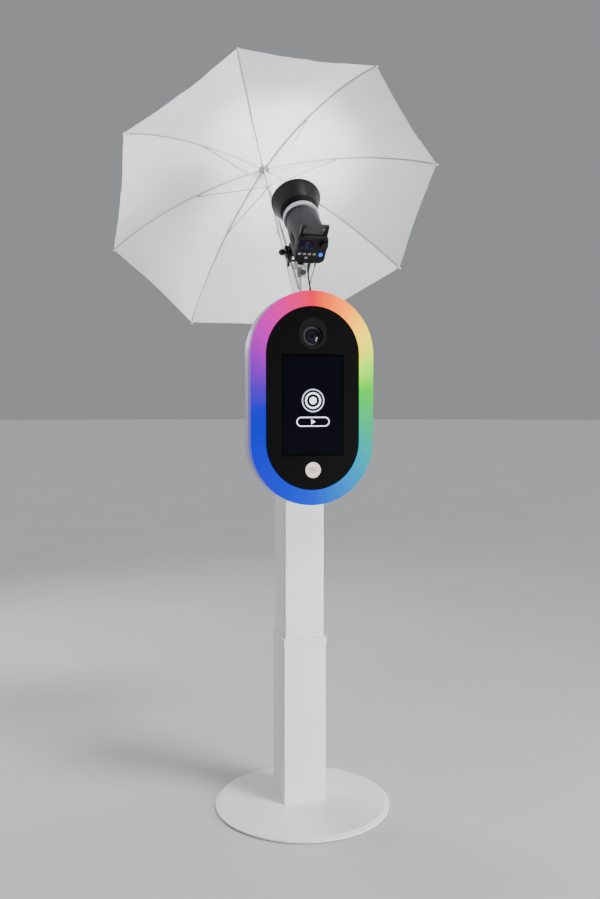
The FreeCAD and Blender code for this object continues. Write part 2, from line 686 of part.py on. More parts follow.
def make_camera():
    """Window bezel, lens with its focus ring and front glass, and the camera behind."""
    bezel = pill(WINDOW_WIDTH, WINDOW_HEIGHT, PANEL_FACE - WINDOW_PROUD, PANEL_BACK, WINDOW_Z)
    flange = 2.0 * WINDOW_FLANGE
    rear = PANEL_BACK + WINDOW_FLANGE_THICK
    bezel = bezel.fuse(pill(WINDOW_WIDTH + flange, WINDOW_HEIGHT + flange, PANEL_BACK, rear, WINDOW_Z))
    tube_r = WINDOW_BORE_R + WINDOW_TUBE_WALL
    bezel = bezel.fuse(rod((0, rear, LENS_Z), (0, 1, 0), tube_r, WINDOW_TUBE))
    bore_start = PANEL_FACE - WINDOW_PROUD
    bore_length = rear + WINDOW_TUBE - bore_start
    bezel = bezel.cut(rod((0, bore_start, LENS_Z), (0, 1, 0), WINDOW_BORE_R, bore_length))
    save("camera_window", bezel)

    focus_start = LENS_FRONT + FOCUS_START
    focus_end = focus_start + FOCUS_LENGTH
    seat = LENS_FRONT + GLASS_SEAT
    barrel = rod((0, LENS_FRONT, LENS_Z), (0, 1, 0), LENS_R, LENS_LENGTH)
    groove = rod((0, focus_start, LENS_Z), (0, 1, 0), LENS_R + 1.0, FOCUS_LENGTH)
    barrel = barrel.cut(groove.cut(rod((0, focus_start, LENS_Z), (0, 1, 0), LENS_WAIST_R, FOCUS_LENGTH)))
    barrel = barrel.cut(rod((0, LENS_FRONT, LENS_Z), (0, 1, 0), LENS_R - LENS_LIP, GLASS_SEAT))
    barrel = barrel.cut(rod((0, seat, LENS_Z), (0, 1, 0), GLASS_R, GLASS_THICK))
    save("lens_barrel", barrel)

    ring_start = focus_start + FOCUS_SIDE_GAP
    ring_length = FOCUS_LENGTH - 2.0 * FOCUS_SIDE_GAP
    ring = rod((0, ring_start, LENS_Z), (0, 1, 0), FOCUS_R, ring_length)
    save("focus_ring", ring.cut(rod((0, ring_start, LENS_Z), (0, 1, 0), LENS_WAIST_R + RUN_GAP, ring_length)))

    dome_r = (GLASS_R ** 2 + GLASS_DOME ** 2) / (2.0 * GLASS_DOME)
    part_way = GLASS_R / 2.0
    part_drop = dome_r - math.sqrt(dome_r ** 2 - part_way ** 2)
    crown = seat - GLASS_DOME
    rear = seat + GLASS_THICK
    arc = Part.Arc(
        Vector(0, crown, LENS_Z),
        Vector(part_way, crown + part_drop, LENS_Z),
        Vector(GLASS_R, seat, LENS_Z),
    ).toShape()
    corners = [(GLASS_R, seat), (GLASS_R, rear), (0, rear), (0, crown)]
    lines = [
        Part.LineSegment(Vector(a[0], a[1], LENS_Z), Vector(b[0], b[1], LENS_Z)).toShape()
        for a, b in zip(corners, corners[1:])
    ]
    lens = Part.Face(Part.Wire([arc] + lines)).revolve(Vector(0, 0, LENS_Z), Y, 360)
    save("lens_glass", lens)

    w, d, h = CAMERA_SIZE
    save("camera_body", block(-w / 2.0, w / 2.0, LENS_BACK, LENS_BACK + d, CAMERA_LOW, CAMERA_LOW + h))


def make_electronics():
    """Computer, power supply, mains inlet and rocker switch."""
    w, d, h = COMPUTER_SIZE
    computer = block(-w / 2.0, w / 2.0, SHELL_INSIDE - d, SHELL_INSIDE, COMPUTER_Z, COMPUTER_Z + h)
    face = SHELL_INSIDE - d
    for i in range(FIN_COUNT):
        x = -w / 2.0 + FIN_START + FIN_PITCH * i
        computer = computer.cut(block(x, x + FIN_SLOT, face, face + FIN_DEPTH, COMPUTER_Z, COMPUTER_Z + h))
    save("computer", computer)
    w, d, h = SUPPLY_SIZE
    save("power_supply", block(-w / 2.0, w / 2.0, SHELL_INSIDE - d, SHELL_INSIDE, SUPPLY_Z, SUPPLY_Z + h))

    half_w = INLET_SIZE[0] / 2.0
    half_h = INLET_SIZE[1] / 2.0
    face = HEAD_BACK + INLET_PROUD
    body = block(
        SERVICE_X - half_w, SERVICE_X + half_w, HEAD_BACK - INLET_BODY, face,
        INLET_Z - half_h, INLET_Z + half_h,
    )
    body = body.fuse(block(
        SERVICE_X - half_w - INLET_FLANGE, SERVICE_X + half_w + INLET_FLANGE, HEAD_BACK, face,
        INLET_Z - half_h - INLET_FLANGE / 2.0, INLET_Z + half_h + INLET_FLANGE / 2.0,
    ))
    half_w -= INLET_WALL
    half_h -= INLET_WALL
    floor = face - INLET_DEPTH
    body = body.cut(block(
        SERVICE_X - half_w, SERVICE_X + half_w, floor, face,
        INLET_Z - half_h, INLET_Z + half_h,
    ))
    for dx, dz in INLET_PINS:
        x = SERVICE_X + dx
        z = INLET_Z + dz
        body = body.fuse(block(x - 1.0, x + 1.0, floor - 1.0, face - 4.0, z - 2.0, z + 2.0))
    save("power_inlet", body)

    axis_y = HEAD_BACK - SWITCH_DEPTH
    x0 = SERVICE_X - SWITCH_WIDTH / 2.0
    rocker = rod((x0, axis_y, SWITCH_Z), (1, 0, 0), SWITCH_R, SWITCH_WIDTH)
    cut = axis_y + SWITCH_R * SWITCH_FLAT
    reach = 2.5 * SWITCH_R
    slab = block(x0, x0 + SWITCH_WIDTH, cut, cut + reach, SWITCH_Z - reach, SWITCH_Z + reach)
    slab.rotate(Vector(SERVICE_X, axis_y, SWITCH_Z), X, -SWITCH_TILT)
    save("power_switch", rocker.cut(slab))


# ---------------------------------------------------------------- pole and swivel
LUG_X0 = POLE_X - LUG_WIDTH / 2.0
LUG_X1 = POLE_X + LUG_WIDTH / 2.0


def make_pole():
    """Column cap with a cable hole, and the accessory pole that stands on it."""
    inner = UPPER_SIDE - 2.0 * UPPER_WALL
    cap = square_prism(UPPER_SIDE, COLUMN_CORNER, UPPER_TOP, CAP_TOP)
    plug = square_prism(inner, COLUMN_CORNER - UPPER_WALL, UPPER_TOP - CAP_PLUG_DEPTH, UPPER_TOP)
    plug_hole = inner - 2.0 * CAP_PLUG_WALL
    plug = plug.cut(square_prism(plug_hole, 2.0, UPPER_TOP - CAP_PLUG_DEPTH, UPPER_TOP))
    cap = cap.fuse(plug)
    cap = cap.cut(rod(CABLE_HOLE + (UPPER_TOP - 1.0,), (0, 0, 1), CABLE_HOLE_R, CAP_THICK + 2.0))
    cap = cap.fuse(rod((POLE_X, POLE_Y, CAP_TOP), (0, 0, 1), POLE_BOSS_R, POLE_BOSS_HEIGHT))
    cap = cap.fuse(rod((POLE_X, POLE_Y, CAP_TOP), (0, 0, 1), POLE_R, POLE_TOP - CAP_TOP))
    save("accessory_pole", cap)


def make_adaptor():
    """Swivel socket on the pole's top, with two ears for the tilt pivot, and its knob."""
    socket = rod((POLE_X, POLE_Y, ADAPTOR_LOW), (0, 0, 1), ADAPTOR_R, YOKE_FLOOR - ADAPTOR_LOW + 1.0)
    outer0 = LUG_X0 - EAR_GAP - EAR_THICK
    outer1 = LUG_X1 + EAR_GAP + EAR_THICK
    yoke = block(
        outer0, outer1, POLE_Y - 8.0, PIVOT.y + EAR_R, YOKE_FLOOR, YOKE_FLOOR + YOKE_FLOOR_THICK,
    )
    body = socket.fuse(yoke)
    for x0 in (outer0, LUG_X1 + EAR_GAP):
        ear = rod((x0, PIVOT.y, PIVOT.z), (1, 0, 0), EAR_R, EAR_THICK)
        ear = ear.fuse(block(x0, x0 + EAR_THICK, PIVOT.y - EAR_R, PIVOT.y + EAR_R, YOKE_FLOOR, PIVOT.z))
        body = body.fuse(ear)
    bore_depth = POLE_TOP + 0.4 - ADAPTOR_LOW
    body = body.cut(rod((POLE_X, POLE_Y, ADAPTOR_LOW), (0, 0, 1), POLE_R + RUN_GAP, bore_depth))
    body = body.cut(rod((outer0, PIVOT.y, PIVOT.z), (1, 0, 0), PIVOT_R + RUN_GAP, outer1 - outer0))
    knob_z = ADAPTOR_LOW + ADAPTOR_KNOB_RISE
    knob_face = POLE_Y - ADAPTOR_R - KNOB_GAP
    stem_start = POLE_Y - POLE_R - TIP_GAP
    body = body.cut(rod((POLE_X, POLE_Y - POLE_R, knob_z), (0, -1, 0), STEM_R + RUN_GAP, ADAPTOR_R))
    save("stand_adaptor", body.removeSplitter())
    stem = rod((POLE_X, stem_start, knob_z), (0, -1, 0), STEM_R, stem_start - knob_face)
    knob = star_knob((POLE_X, knob_face, knob_z), (0, -1, 0), ADAPTOR_KNOB_R, ADAPTOR_KNOB_THICK, 5)
    save("adaptor_knob", stem.fuse(knob))

    bar_x = outer0 - TILT_GRIP_OUT
    bolt = rod((bar_x, PIVOT.y, PIVOT.z), (1, 0, 0), PIVOT_R, outer1 + 3.0 - bar_x)
    nut = rod((outer1 + 0.5, PIVOT.y, PIVOT.z), (1, 0, 0), TILT_GRIP_R, TILT_NUT_THICK)
    grip = rod((bar_x - 8.0, PIVOT.y, PIVOT.z), (1, 0, 0), TILT_GRIP_R, TILT_GRIP_LENGTH)
    bar = rod((bar_x - 3.0, PIVOT.y, PIVOT.z - TILT_BAR_HALF), (0, 0, 1), TILT_BAR_R, 2.0 * TILT_BAR_HALF)
    save("tilt_handle", bolt.fuse(nut).fuse(grip).fuse(bar))


# ---------------------------------------------------------------- flash
def flash_outside():
    """Outside of the flash housing as one solid, square behind and round in front."""
    rear = rounded_square(FLASH_SIDE, FLASH_CORNER, PANEL_DEPTH)
    front = rounded_square(FLASH_FRONT_SIDE, FLASH_FRONT_CORNER, FLASH_LENGTH)
    return Part.makeLoft([rear, front], True, True)


def make_flash_body():
    """Die-cast flash housing, open at the rear, with its rear panel, dial and test button."""
    wall2 = 2.0 * FLASH_WALL
    rear = rounded_square(FLASH_SIDE - wall2, FLASH_CORNER - FLASH_WALL, PANEL_DEPTH)
    front_corner = FLASH_FRONT_CORNER - FLASH_WALL
    front = rounded_square(FLASH_FRONT_SIDE - wall2, front_corner, FLASH_LENGTH - FLASH_WALL)
    hollow = Part.makeLoft([rear, front], True, True)
    save("flash_body", in_frame(flash_outside().cut(hollow), FLASH_FRAME))

    panel = Part.makeLoft([
        rounded_square(FLASH_SIDE - 6.0, FLASH_CORNER - 3.0, 0.0),
        rounded_square(FLASH_SIDE, FLASH_CORNER, PANEL_DEPTH),
    ], True, True)
    lx, ly = LCD_AT
    lw, lh = LCD_SIZE
    panel = panel.cut(block(lx - lw / 2.0, lx + lw / 2.0, -ly - lh / 2.0, -ly + lh / 2.0, 0.0, LCD_DEPTH))
    panel = panel.cut(rod((DIAL_AT[0], -DIAL_AT[1], 0), (0, 0, 1), SPINDLE_R + RUN_GAP, PANEL_DEPTH))
    well = BUTTON_R + BUTTON_GAP
    panel = panel.cut(rod((BUTTON_AT[0], -BUTTON_AT[1], 0), (0, 0, 1), well, BUTTON_LENGTH))
    save("flash_panel", in_frame(panel, FLASH_FRAME))

    dial = star_knob((DIAL_AT[0], -DIAL_AT[1], -0.5), (0, 0, -1), DIAL_R, DIAL_THICK, DIAL_LOBES)
    spindle = rod((DIAL_AT[0], -DIAL_AT[1], -1.0), (0, 0, 1), SPINDLE_R, PANEL_DEPTH)
    save("power_dial", in_frame(dial.fuse(spindle), FLASH_FRAME))
    button = rod((BUTTON_AT[0], -BUTTON_AT[1], -BUTTON_TRAVEL - 1.0), (0, 0, 1), BUTTON_R, BUTTON_LENGTH)
    save("test_button", in_frame(button, FLASH_FRAME))


def make_flash_handle():
    """Carrying handle across the top of the flash, over a finger gap."""
    half = FLASH_SIDE / 2.0
    top = -half - HANDLE_GAP - HANDLE_THICK
    z0 = PANEL_DEPTH + 2.0
    z1 = z0 + HANDLE_WIDTH
    reach = HANDLE_SPAN / 2.0
    bar = block(-reach, reach, top, top + HANDLE_THICK, z0, z1)
    for x in (-reach, reach - HANDLE_THICK):
        bar = bar.fuse(block(x, x + HANDLE_THICK, top, -half + 10.0, z0, z1))
    save("flash_handle", in_frame(bar.removeSplitter().cut(flash_outside()), FLASH_FRAME))


def make_light():
    """Mount ring, flared reflector, and the ring-shaped flash tube with its lamp."""
    ring = rod((0, 0, FLASH_LENGTH), (0, 0, 1), LOCK_RING_R, LOCK_RING_THICK)
    ring = ring.cut(rod((0, 0, FLASH_LENGTH), (0, 0, 1), NECK_R, LOCK_RING_THICK))
    for i in range(GRIP_COUNT):
        a = 2.0 * math.pi * i / GRIP_COUNT
        groove = rod((LOCK_RING_R * math.cos(a), LOCK_RING_R * math.sin(a), FLASH_LENGTH + GRIP_START),
                     (0, 0, 1), GRIP_R, LOCK_RING_THICK - 2.0 * GRIP_START)
        ring = ring.cut(groove)
    save("lock_ring", in_frame(ring, FLASH_FRAME))

    neck_start = FLASH_LENGTH + DISH_START
    neck_end = FLASH_LENGTH + LOCK_RING_THICK + FLARE_START
    shoulder = neck_end + FLARE_LENGTH
    neck_in = NECK_R - DISH_WALL
    band = RIM_ALONG - RIM_BAND
    dish = revolved(
        [
            (NECK_R, 0, neck_start),
            (NECK_R, 0, neck_end),
            (NECK_R + FLARE_OUT, 0, shoulder),
            (RIM_R, 0, band),
            (RIM_R + RIM_LIP, 0, band),
            (RIM_R + RIM_LIP, 0, RIM_ALONG),
            (RIM_R - DISH_WALL, 0, RIM_ALONG),
            (NECK_R + FLARE_OUT - DISH_WALL, 0, shoulder + DISH_WALL / 2.0),
            (neck_in, 0, neck_end + DISH_WALL / 2.0),
            (neck_in, 0, neck_start),
        ],
        (0, 0, 0),
        (0, 0, 1),
    )
    save("reflector", in_frame(dish, FLASH_FRAME))

    socket = rod((0, 0, FLASH_LENGTH), (0, 0, 1), SOCKET_R, SOCKET_THICK)
    face = FLASH_LENGTH + SOCKET_THICK
    tube = Part.makeTorus(TUBE_RING_R, TUBE_R, Vector(0, 0, FLASH_LENGTH + TUBE_RISE), Z)
    lamp = rod((0, 0, face), (0, 0, 1), LAMP_R, LAMP_RISE - SOCKET_THICK)
    lamp = lamp.fuse(Part.makeSphere(LAMP_R, Vector(0, 0, FLASH_LENGTH + LAMP_RISE)))
    whole = socket.fuse(tube).fuse(lamp)
    for x in (-TUBE_RING_R, TUBE_RING_R):
        whole = whole.fuse(rod((x, 0, face), (0, 0, 1), TUBE_LEG_R, TUBE_RISE - SOCKET_THICK))
    save("flash_tube", in_frame(whole, FLASH_FRAME))


def make_flash_bracket():
    """Bracket under the flash: plate, tilt lug and the umbrella's clamp block with its knob."""
    sx = SHAFT_ASIDE
    sy = SHAFT_DOWN
    plate_face = FLASH_FRONT_SIDE / 2.0
    lug_x0 = LUG_X0 - FLASH_POINT.x
    plate = block(
        lug_x0 - PLATE_LEFT, PLATE_RIGHT, FLASH_SIDE / 2.0, plate_face + BRACKET_PLATE, *PLATE_SPAN,
    )
    lug = rod((lug_x0, PIVOT_DOWN, PIVOT_ALONG), (1, 0, 0), LUG_R, LUG_WIDTH)
    lug = lug.fuse(block(
        lug_x0, lug_x0 + LUG_WIDTH, plate_face, PIVOT_DOWN, PIVOT_ALONG - LUG_R, PIVOT_ALONG + LUG_R,
    ))
    half = HOLDER_SIZE / 2.0
    end = HOLDER_START + HOLDER_LENGTH
    holder = block(sx - half, sx + half, sy - half, sy + half, HOLDER_START, end)
    web_low = sy + half - WEB_LOW
    web = block(
        sx, lug_x0 + LUG_WIDTH, plate_face, web_low, HOLDER_START + WEB_INSET, end - WEB_INSET,
    )
    bracket = plate.fuse(lug).fuse(holder).fuse(web).cut(flash_outside())
    pivot_start = (lug_x0 - 1.0, PIVOT_DOWN, PIVOT_ALONG)
    bracket = bracket.cut(rod(pivot_start, (1, 0, 0), PIVOT_R + RUN_GAP, LUG_WIDTH + 2.0))
    bracket = bracket.cut(rod((sx, sy, HOLDER_START), (0, 0, 1), SHAFT_R + RUN_GAP, HOLDER_LENGTH))
    knob_z = HOLDER_START + HOLDER_LENGTH / 2.0
    bracket = bracket.cut(rod((sx - SHAFT_R, sy, knob_z), (-1, 0, 0), STEM_R + RUN_GAP, HOLDER_SIZE))
    save("flash_bracket", in_frame(bracket.removeSplitter(), FLASH_FRAME))

    stem_start = sx - SHAFT_R - TIP_GAP
    knob_face = sx - half - KNOB_GAP
    stem = rod((stem_start, sy, knob_z), (-1, 0, 0), STEM_R, stem_start - knob_face)
    ball = Part.makeSphere(BALL_R, Vector(knob_face - BALL_R * 0.8, sy, knob_z))
    save("umbrella_knob", in_frame(stem.fuse(ball), FLASH_FRAME))


def make_cords():
    """Mains plug in the flash's underside, its lead, and the thin sync lead with its jack."""
    plug_x, plug_z = INLET_AT
    w, d = PLUG_SIZE
    seat = FLASH_FRONT_SIDE / 2.0
    end = seat + PLUG_LENGTH - RELIEF_LENGTH
    plug = block(
        plug_x - w / 2.0, plug_x + w / 2.0, FLASH_SIDE / 2.0, end, plug_z - d / 2.0, plug_z + d / 2.0,
    )
    plug = plug.cut(flash_outside())
    relief = Part.makeCone(RELIEF_R, MAINS_R + 0.8, RELIEF_LENGTH, Vector(plug_x, end, plug_z), Y)
    save("mains_plug", in_frame(plug.fuse(relief), FLASH_FRAME))
    save("mains_cord", cord_tube(MAINS_ROUTE, MAINS_R, "mains_cord"))
    jack = rod((SYNC_JACK_AT[0], FLASH_SIDE / 2.0, SYNC_JACK_AT[1]), (0, 1, 0), SYNC_JACK_R, SYNC_JACK_LENGTH)
    jack = in_frame(jack.cut(flash_outside()), FLASH_FRAME)
    tube = cord_tube(SYNC_ROUTE, SYNC_R, "sync_cable")
    save("sync_cable", jack, tube)


# ---------------------------------------------------------------- umbrella
def circle_through(a, b, c):
    """Centre and radius of the circle through three points of a plane."""
    (ax, ay), (bx, by), (cx, cy) = a, b, c
    d = 2.0 * (ax * (by - cy) + bx * (cy - ay) + cx * (ay - by))
    sa, sb, sc = ax * ax + ay * ay, bx * bx + by * by, cx * cx + cy * cy
    ux = (sa * (by - cy) + sb * (cy - ay) + sc * (ay - by)) / d
    uy = (sa * (cx - bx) + sb * (ax - cx) + sc * (bx - ax)) / d
    return ux, uy, math.hypot(ax - ux, ay - uy)


RIB_START = (HINGE_R, 0.0)
RIB_MIDDLE = (ELBOW[0], ELBOW_DROP - ELBOW[1])
RIB_END = (TIP[0], -TIP[1])
ARC_X, ARC_Z, ARC_R = circle_through(RIB_START, RIB_MIDDLE, RIB_END)


def arc_angle(point):
    """Angle of a point seen from the rib arc's centre."""
    return math.atan2(point[1] - ARC_Z, point[0] - ARC_X)


def rib_point(angle, offset=0.0):
    """Point of the rib's plane (out, along) on the rib's arc, or outside it by an offset."""
    r = ARC_R + offset
    return Vector(ARC_X + r * math.cos(angle), 0, ARC_Z + r * math.sin(angle))


def rib_turn(k):
    """Angle of rib k round the shaft."""
    return RIB_PHASE + 360.0 * k / RIB_COUNT


def spread(shape, k):
    """A shape drawn in the plane y = 0, turned to rib k and moved into the object's frame."""
    turned = shape.copy()
    turned.rotate(Vector(0, 0, 0), Z, rib_turn(k))
    return in_frame(turned, UMBRELLA_FRAME)


def blade_plate(centre, radius, width):
    """Round plate across the plane y = 0."""
    return rod((centre[0], -width / 2.0, centre[1]), (0, 1, 0), radius, width)


def slotted_hub(radius, z0, z1, pins):
    """Disc with one slot for each rib, and a pin across each slot if pins is set."""
    hub = rod((0, 0, z0), (0, 0, 1), radius, z1 - z0)
    for k in range(RIB_COUNT):
        slot = block(HINGE_R - 4.5, radius + 2.0, -SLOT / 2.0, SLOT / 2.0, z0, z1)
        slot.rotate(Vector(0, 0, 0), Z, rib_turn(k))
        hub = hub.cut(slot)
    if pins:
        for k in range(RIB_COUNT):
            pin = rod((HINGE_R, -SLOT / 2.0 - 1.0, 0), (0, 1, 0), PIN_R, SLOT + 2.0)
            pin.rotate(Vector(0, 0, 0), Z, rib_turn(k))
            hub = hub.fuse(pin)
    return hub


def make_shaft():
    """Umbrella shaft with the slotted crown, its cap and the tip."""
    crown = slotted_hub(CROWN_R, -CROWN_HALF, CROWN_HALF, True)
    cap_top = CAP_DISC_RISE + CAP_DISC_THICK
    cap = rod((0, 0, CAP_DISC_RISE), (0, 0, 1), CAP_DISC_R, CAP_DISC_THICK)
    neck = rod((0, 0, CROWN_HALF), (0, 0, 1), NECK_ROD_R, cap_top - CROWN_HALF)
    wide, narrow, length = FERRULE
    ferrule = Part.makeCone(wide, narrow, length, Vector(0, 0, cap_top), Z)
    shaft = rod((0, 0, -SHAFT_LENGTH), (0, 0, 1), SHAFT_R, SHAFT_LENGTH)
    whole = shaft.fuse(crown).fuse(neck).fuse(cap).fuse(ferrule)
    save("umbrella_shaft", in_frame(whole, UMBRELLA_FRAME))


def make_runner():
    """Runner that slides on the shaft, slotted for the stretchers."""
    z = -2.0 * ELBOW[1]
    hub = slotted_hub(CROWN_R, z - RUNNER_HALF, z + RUNNER_HALF, False)
    low = z - RUNNER_HALF - SLEEVE_LENGTH + 0.5
    sleeve = rod((0, 0, low), (0, 0, 1), SLEEVE_R, SLEEVE_LENGTH)
    runner = hub.fuse(sleeve)
    runner = runner.cut(rod((0, 0, low), (0, 0, 1), SHAFT_R + RUN_GAP, z + RUNNER_HALF - low))
    save("umbrella_runner", in_frame(runner, UMBRELLA_FRAME))


def make_ribs():
    """Curved steel ribs, each with a hinge blade at the crown and an elbow lug."""
    start = arc_angle(RIB_START)
    end = arc_angle(RIB_END)
    tube_start = start - math.radians(0.45)
    first = rib_point(tube_start)
    heading = Vector(math.sin(tube_start), 0, -math.cos(tube_start))
    section = Part.Face(Part.Wire(Part.makeCircle(RIB_R, first, heading)))
    sweep = math.degrees(tube_start - end)
    tube = section.revolve(Vector(ARC_X, 0, ARC_Z), Y, sweep)
    last = rib_point(end)
    bead = Part.makeSphere(BEAD_R, last)
    blade = blade_plate(RIB_START, HINGE_EYE_R, BLADE)
    blade = blade.fuse(block(HINGE_R, HINGE_R + HINGE_BLADE, -BLADE / 2.0, BLADE / 2.0, -2.4, 0.6))
    lug = blade_plate((ELBOW[0], -ELBOW[1]), ELBOW_EYE_R, BLADE)
    lug = lug.fuse(block(
        ELBOW[0] - ELBOW_EYE_R, ELBOW[0] + ELBOW_EYE_R, -BLADE / 2.0, BLADE / 2.0,
        -ELBOW[1], -ELBOW[1] + ELBOW_DROP,
    ))
    rib = tube.fuse(bead).fuse(blade).fuse(lug)
    rib = rib.cut(blade_plate(RIB_START, PIN_R + RUN_GAP, BLADE + 1.0))
    rib = rib.cut(blade_plate((ELBOW[0], -ELBOW[1]), ELBOW_PIN_R + RUN_GAP, BLADE + 1.0))
    for k in range(RIB_COUNT):
        save(f"umbrella_rib_{k + 1}", spread(rib, k))


def make_stretchers():
    """Struts from the runner to the elbows: a fork and pin outside, a blade inside."""
    inner = Vector(HINGE_R, 0, -2.0 * ELBOW[1])
    outer = Vector(ELBOW[0], 0, -ELBOW[1])
    heading = outer - inner
    length = heading.Length
    heading.normalize()
    inside = BLADE / 2.0 + FORK_GAP
    reach = inside + CHEEK
    start = inner + heading * STRUT_TRIM
    strut = Part.makeCylinder(STRETCHER_R, length - FORK - STRUT_TRIM, start, heading)
    slope = -math.degrees(math.atan2(heading.z, heading.x))

    def along(x0, x1, y0, y1, half_height):
        piece = block(x0, x1, y0, y1, -half_height, half_height)
        piece.rotate(Vector(0, 0, 0), Y, slope)
        piece.translate(inner)
        return piece

    strut = strut.fuse(along(length - FORK - 4.0, length - FORK + 2.0, -reach, reach, HINGE_EYE_R))
    for side in (-1, 1):
        y0 = min(side * inside, side * reach)
        strut = strut.fuse(along(length - FORK, length, y0, y0 + CHEEK, HINGE_EYE_R))
        strut = strut.fuse(rod((outer.x, y0, outer.z), (0, 1, 0), HINGE_EYE_R, CHEEK))
    strut = strut.fuse(rod((outer.x, -reach, outer.z), (0, 1, 0), ELBOW_PIN_R, 2.0 * reach))
    strut = strut.fuse(along(0.0, STRUT_TRIM + 2.0, -BLADE / 2.0, BLADE / 2.0, BLADE))
    for k in range(RIB_COUNT):
        save(f"stretcher_{k + 1}", spread(strut, k))


def make_canopy():
    """Thin canopy over the ribs: panels ruled between neighbouring rib arcs."""
    start = arc_angle(RIB_START) - math.radians(0.55)
    end = arc_angle(RIB_END) + math.radians(0.30)
    under = RIB_R + CANOPY_GAP
    over = under + CANOPY_THICK

    def arc_edge(k, offset):
        middle = rib_point((start + end) / 2.0, offset)
        edge = Part.Arc(rib_point(start, offset), middle, rib_point(end, offset)).toShape()
        edge.rotate(Vector(0, 0, 0), Z, rib_turn(k))
        return edge

    faces = []
    for k in range(RIB_COUNT):
        inner_a = arc_edge(k, under)
        inner_b = arc_edge(k + 1, under)
        outer_a = arc_edge(k, over)
        outer_b = arc_edge(k + 1, over)
        faces.append(Part.makeRuledSurface(inner_a, inner_b))
        faces.append(Part.makeRuledSurface(outer_a, outer_b))
        for i in (0, 1):
            corners = [
                inner_a.Vertexes[i].Point, inner_b.Vertexes[i].Point,
                outer_b.Vertexes[i].Point, outer_a.Vertexes[i].Point,
            ]
            low = Part.LineSegment(corners[0], corners[1]).toShape()
            high = Part.LineSegment(corners[3], corners[2]).toShape()
            faces.append(Part.makeRuledSurface(low, high))
    shell = Part.Shell(faces)
    shell.sewShape()
    canopy = Part.Solid(shell)
    if canopy.Volume < 0:
        canopy.reverse()
    save("umbrella_canopy", in_frame(canopy, UMBRELLA_FRAME))


make_base()
make_lower_column()
make_collar()
make_upper_column()
make_bracket()
make_rear_shell()
make_light_ring()
make_front_panel()
make_display()
make_camera()
make_electronics()
make_pole()
make_adaptor()
make_flash_body()
make_flash_handle()
make_light()
make_flash_bracket()
make_cords()
make_shaft()
make_runner()
make_ribs()
make_stretchers()
make_canopy()
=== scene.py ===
"""Looks of a photo booth: a light-ring head on a telescopic column, with a studio flash and an
umbrella above it. Laid out as an add-on and run as a script. Metres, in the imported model's frame:
+Z up, front towards -Y, origin at the centre of the base's underside.
"""
import math
from functools import partialmethod

import bmesh
import bpy
import numpy as np
from bpy.props import FloatProperty, FloatVectorProperty, IntProperty, PointerProperty
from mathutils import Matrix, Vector


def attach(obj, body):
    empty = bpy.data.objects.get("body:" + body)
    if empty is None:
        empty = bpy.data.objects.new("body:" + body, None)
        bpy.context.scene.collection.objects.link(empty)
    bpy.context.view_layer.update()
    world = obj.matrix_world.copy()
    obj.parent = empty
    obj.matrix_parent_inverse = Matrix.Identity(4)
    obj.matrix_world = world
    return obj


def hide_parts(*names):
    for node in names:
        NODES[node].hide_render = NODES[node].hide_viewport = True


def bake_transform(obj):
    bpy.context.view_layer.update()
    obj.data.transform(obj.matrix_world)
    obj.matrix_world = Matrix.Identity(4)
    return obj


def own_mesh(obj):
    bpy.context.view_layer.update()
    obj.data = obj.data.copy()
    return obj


bl_info = {
    "name": "Photo booth",
    "version": (1, 0, 0),
    "blender": (4, 5, 0),
    "location": "View3D > Sidebar > Photo booth",
    "description": "Finishes, cords, canopy and small fittings of a photo booth",
    "category": "Object",
}

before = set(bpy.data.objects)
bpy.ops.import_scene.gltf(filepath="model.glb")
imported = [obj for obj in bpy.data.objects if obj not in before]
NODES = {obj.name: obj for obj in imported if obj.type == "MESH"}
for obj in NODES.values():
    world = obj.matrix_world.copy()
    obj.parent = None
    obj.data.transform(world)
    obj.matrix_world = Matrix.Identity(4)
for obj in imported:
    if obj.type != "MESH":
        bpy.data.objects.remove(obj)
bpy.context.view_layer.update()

# ---------------------------------------------------------------- places
HALF = math.sqrt(0.5)
FLASH_ORIGIN = np.array((0.030, -0.013, 1.982))     # centre of the flash's rear panel
HUB = np.array((-0.018, 0.515, 2.379))              # where the ribs meet
LEAN = np.array(((1, 0, 0), (0, HALF, -HALF), (0, HALF, HALF)))   # across, down, along

HEAD_Z = 1.464
HEAD_FRONT = -0.137
HEAD_BACK = -0.038
HEAD_HALF_WIDTH = 0.217
HEAD_STRAIGHT = 0.148          # half the straight part of the head's side
SCREEN_Z = 1.441
LENS_Z = 1.676
BADGE_Z = 1.220
RING_DEPTH = 0.040
RING_LAMPS = 60.0
GLASS_RADIUS = 0.0255
CABLE_HOLE = (0.047, 0.057)
CAP_TOP = 1.748

RIB_COUNT = 8
RIB_PHASE = math.radians(24.0)
ARC_CENTRE = (-0.04026, -1.01699)     # rib arc, in a rib's own plane: out from the shaft, and along it
ARC_RADIUS = 1.01833
ARC_START = math.radians(86.51)
ARC_END = math.radians(48.23)
CLOTH_OFFSET = 0.0033                 # middle of the cloth from the ribs' centre line

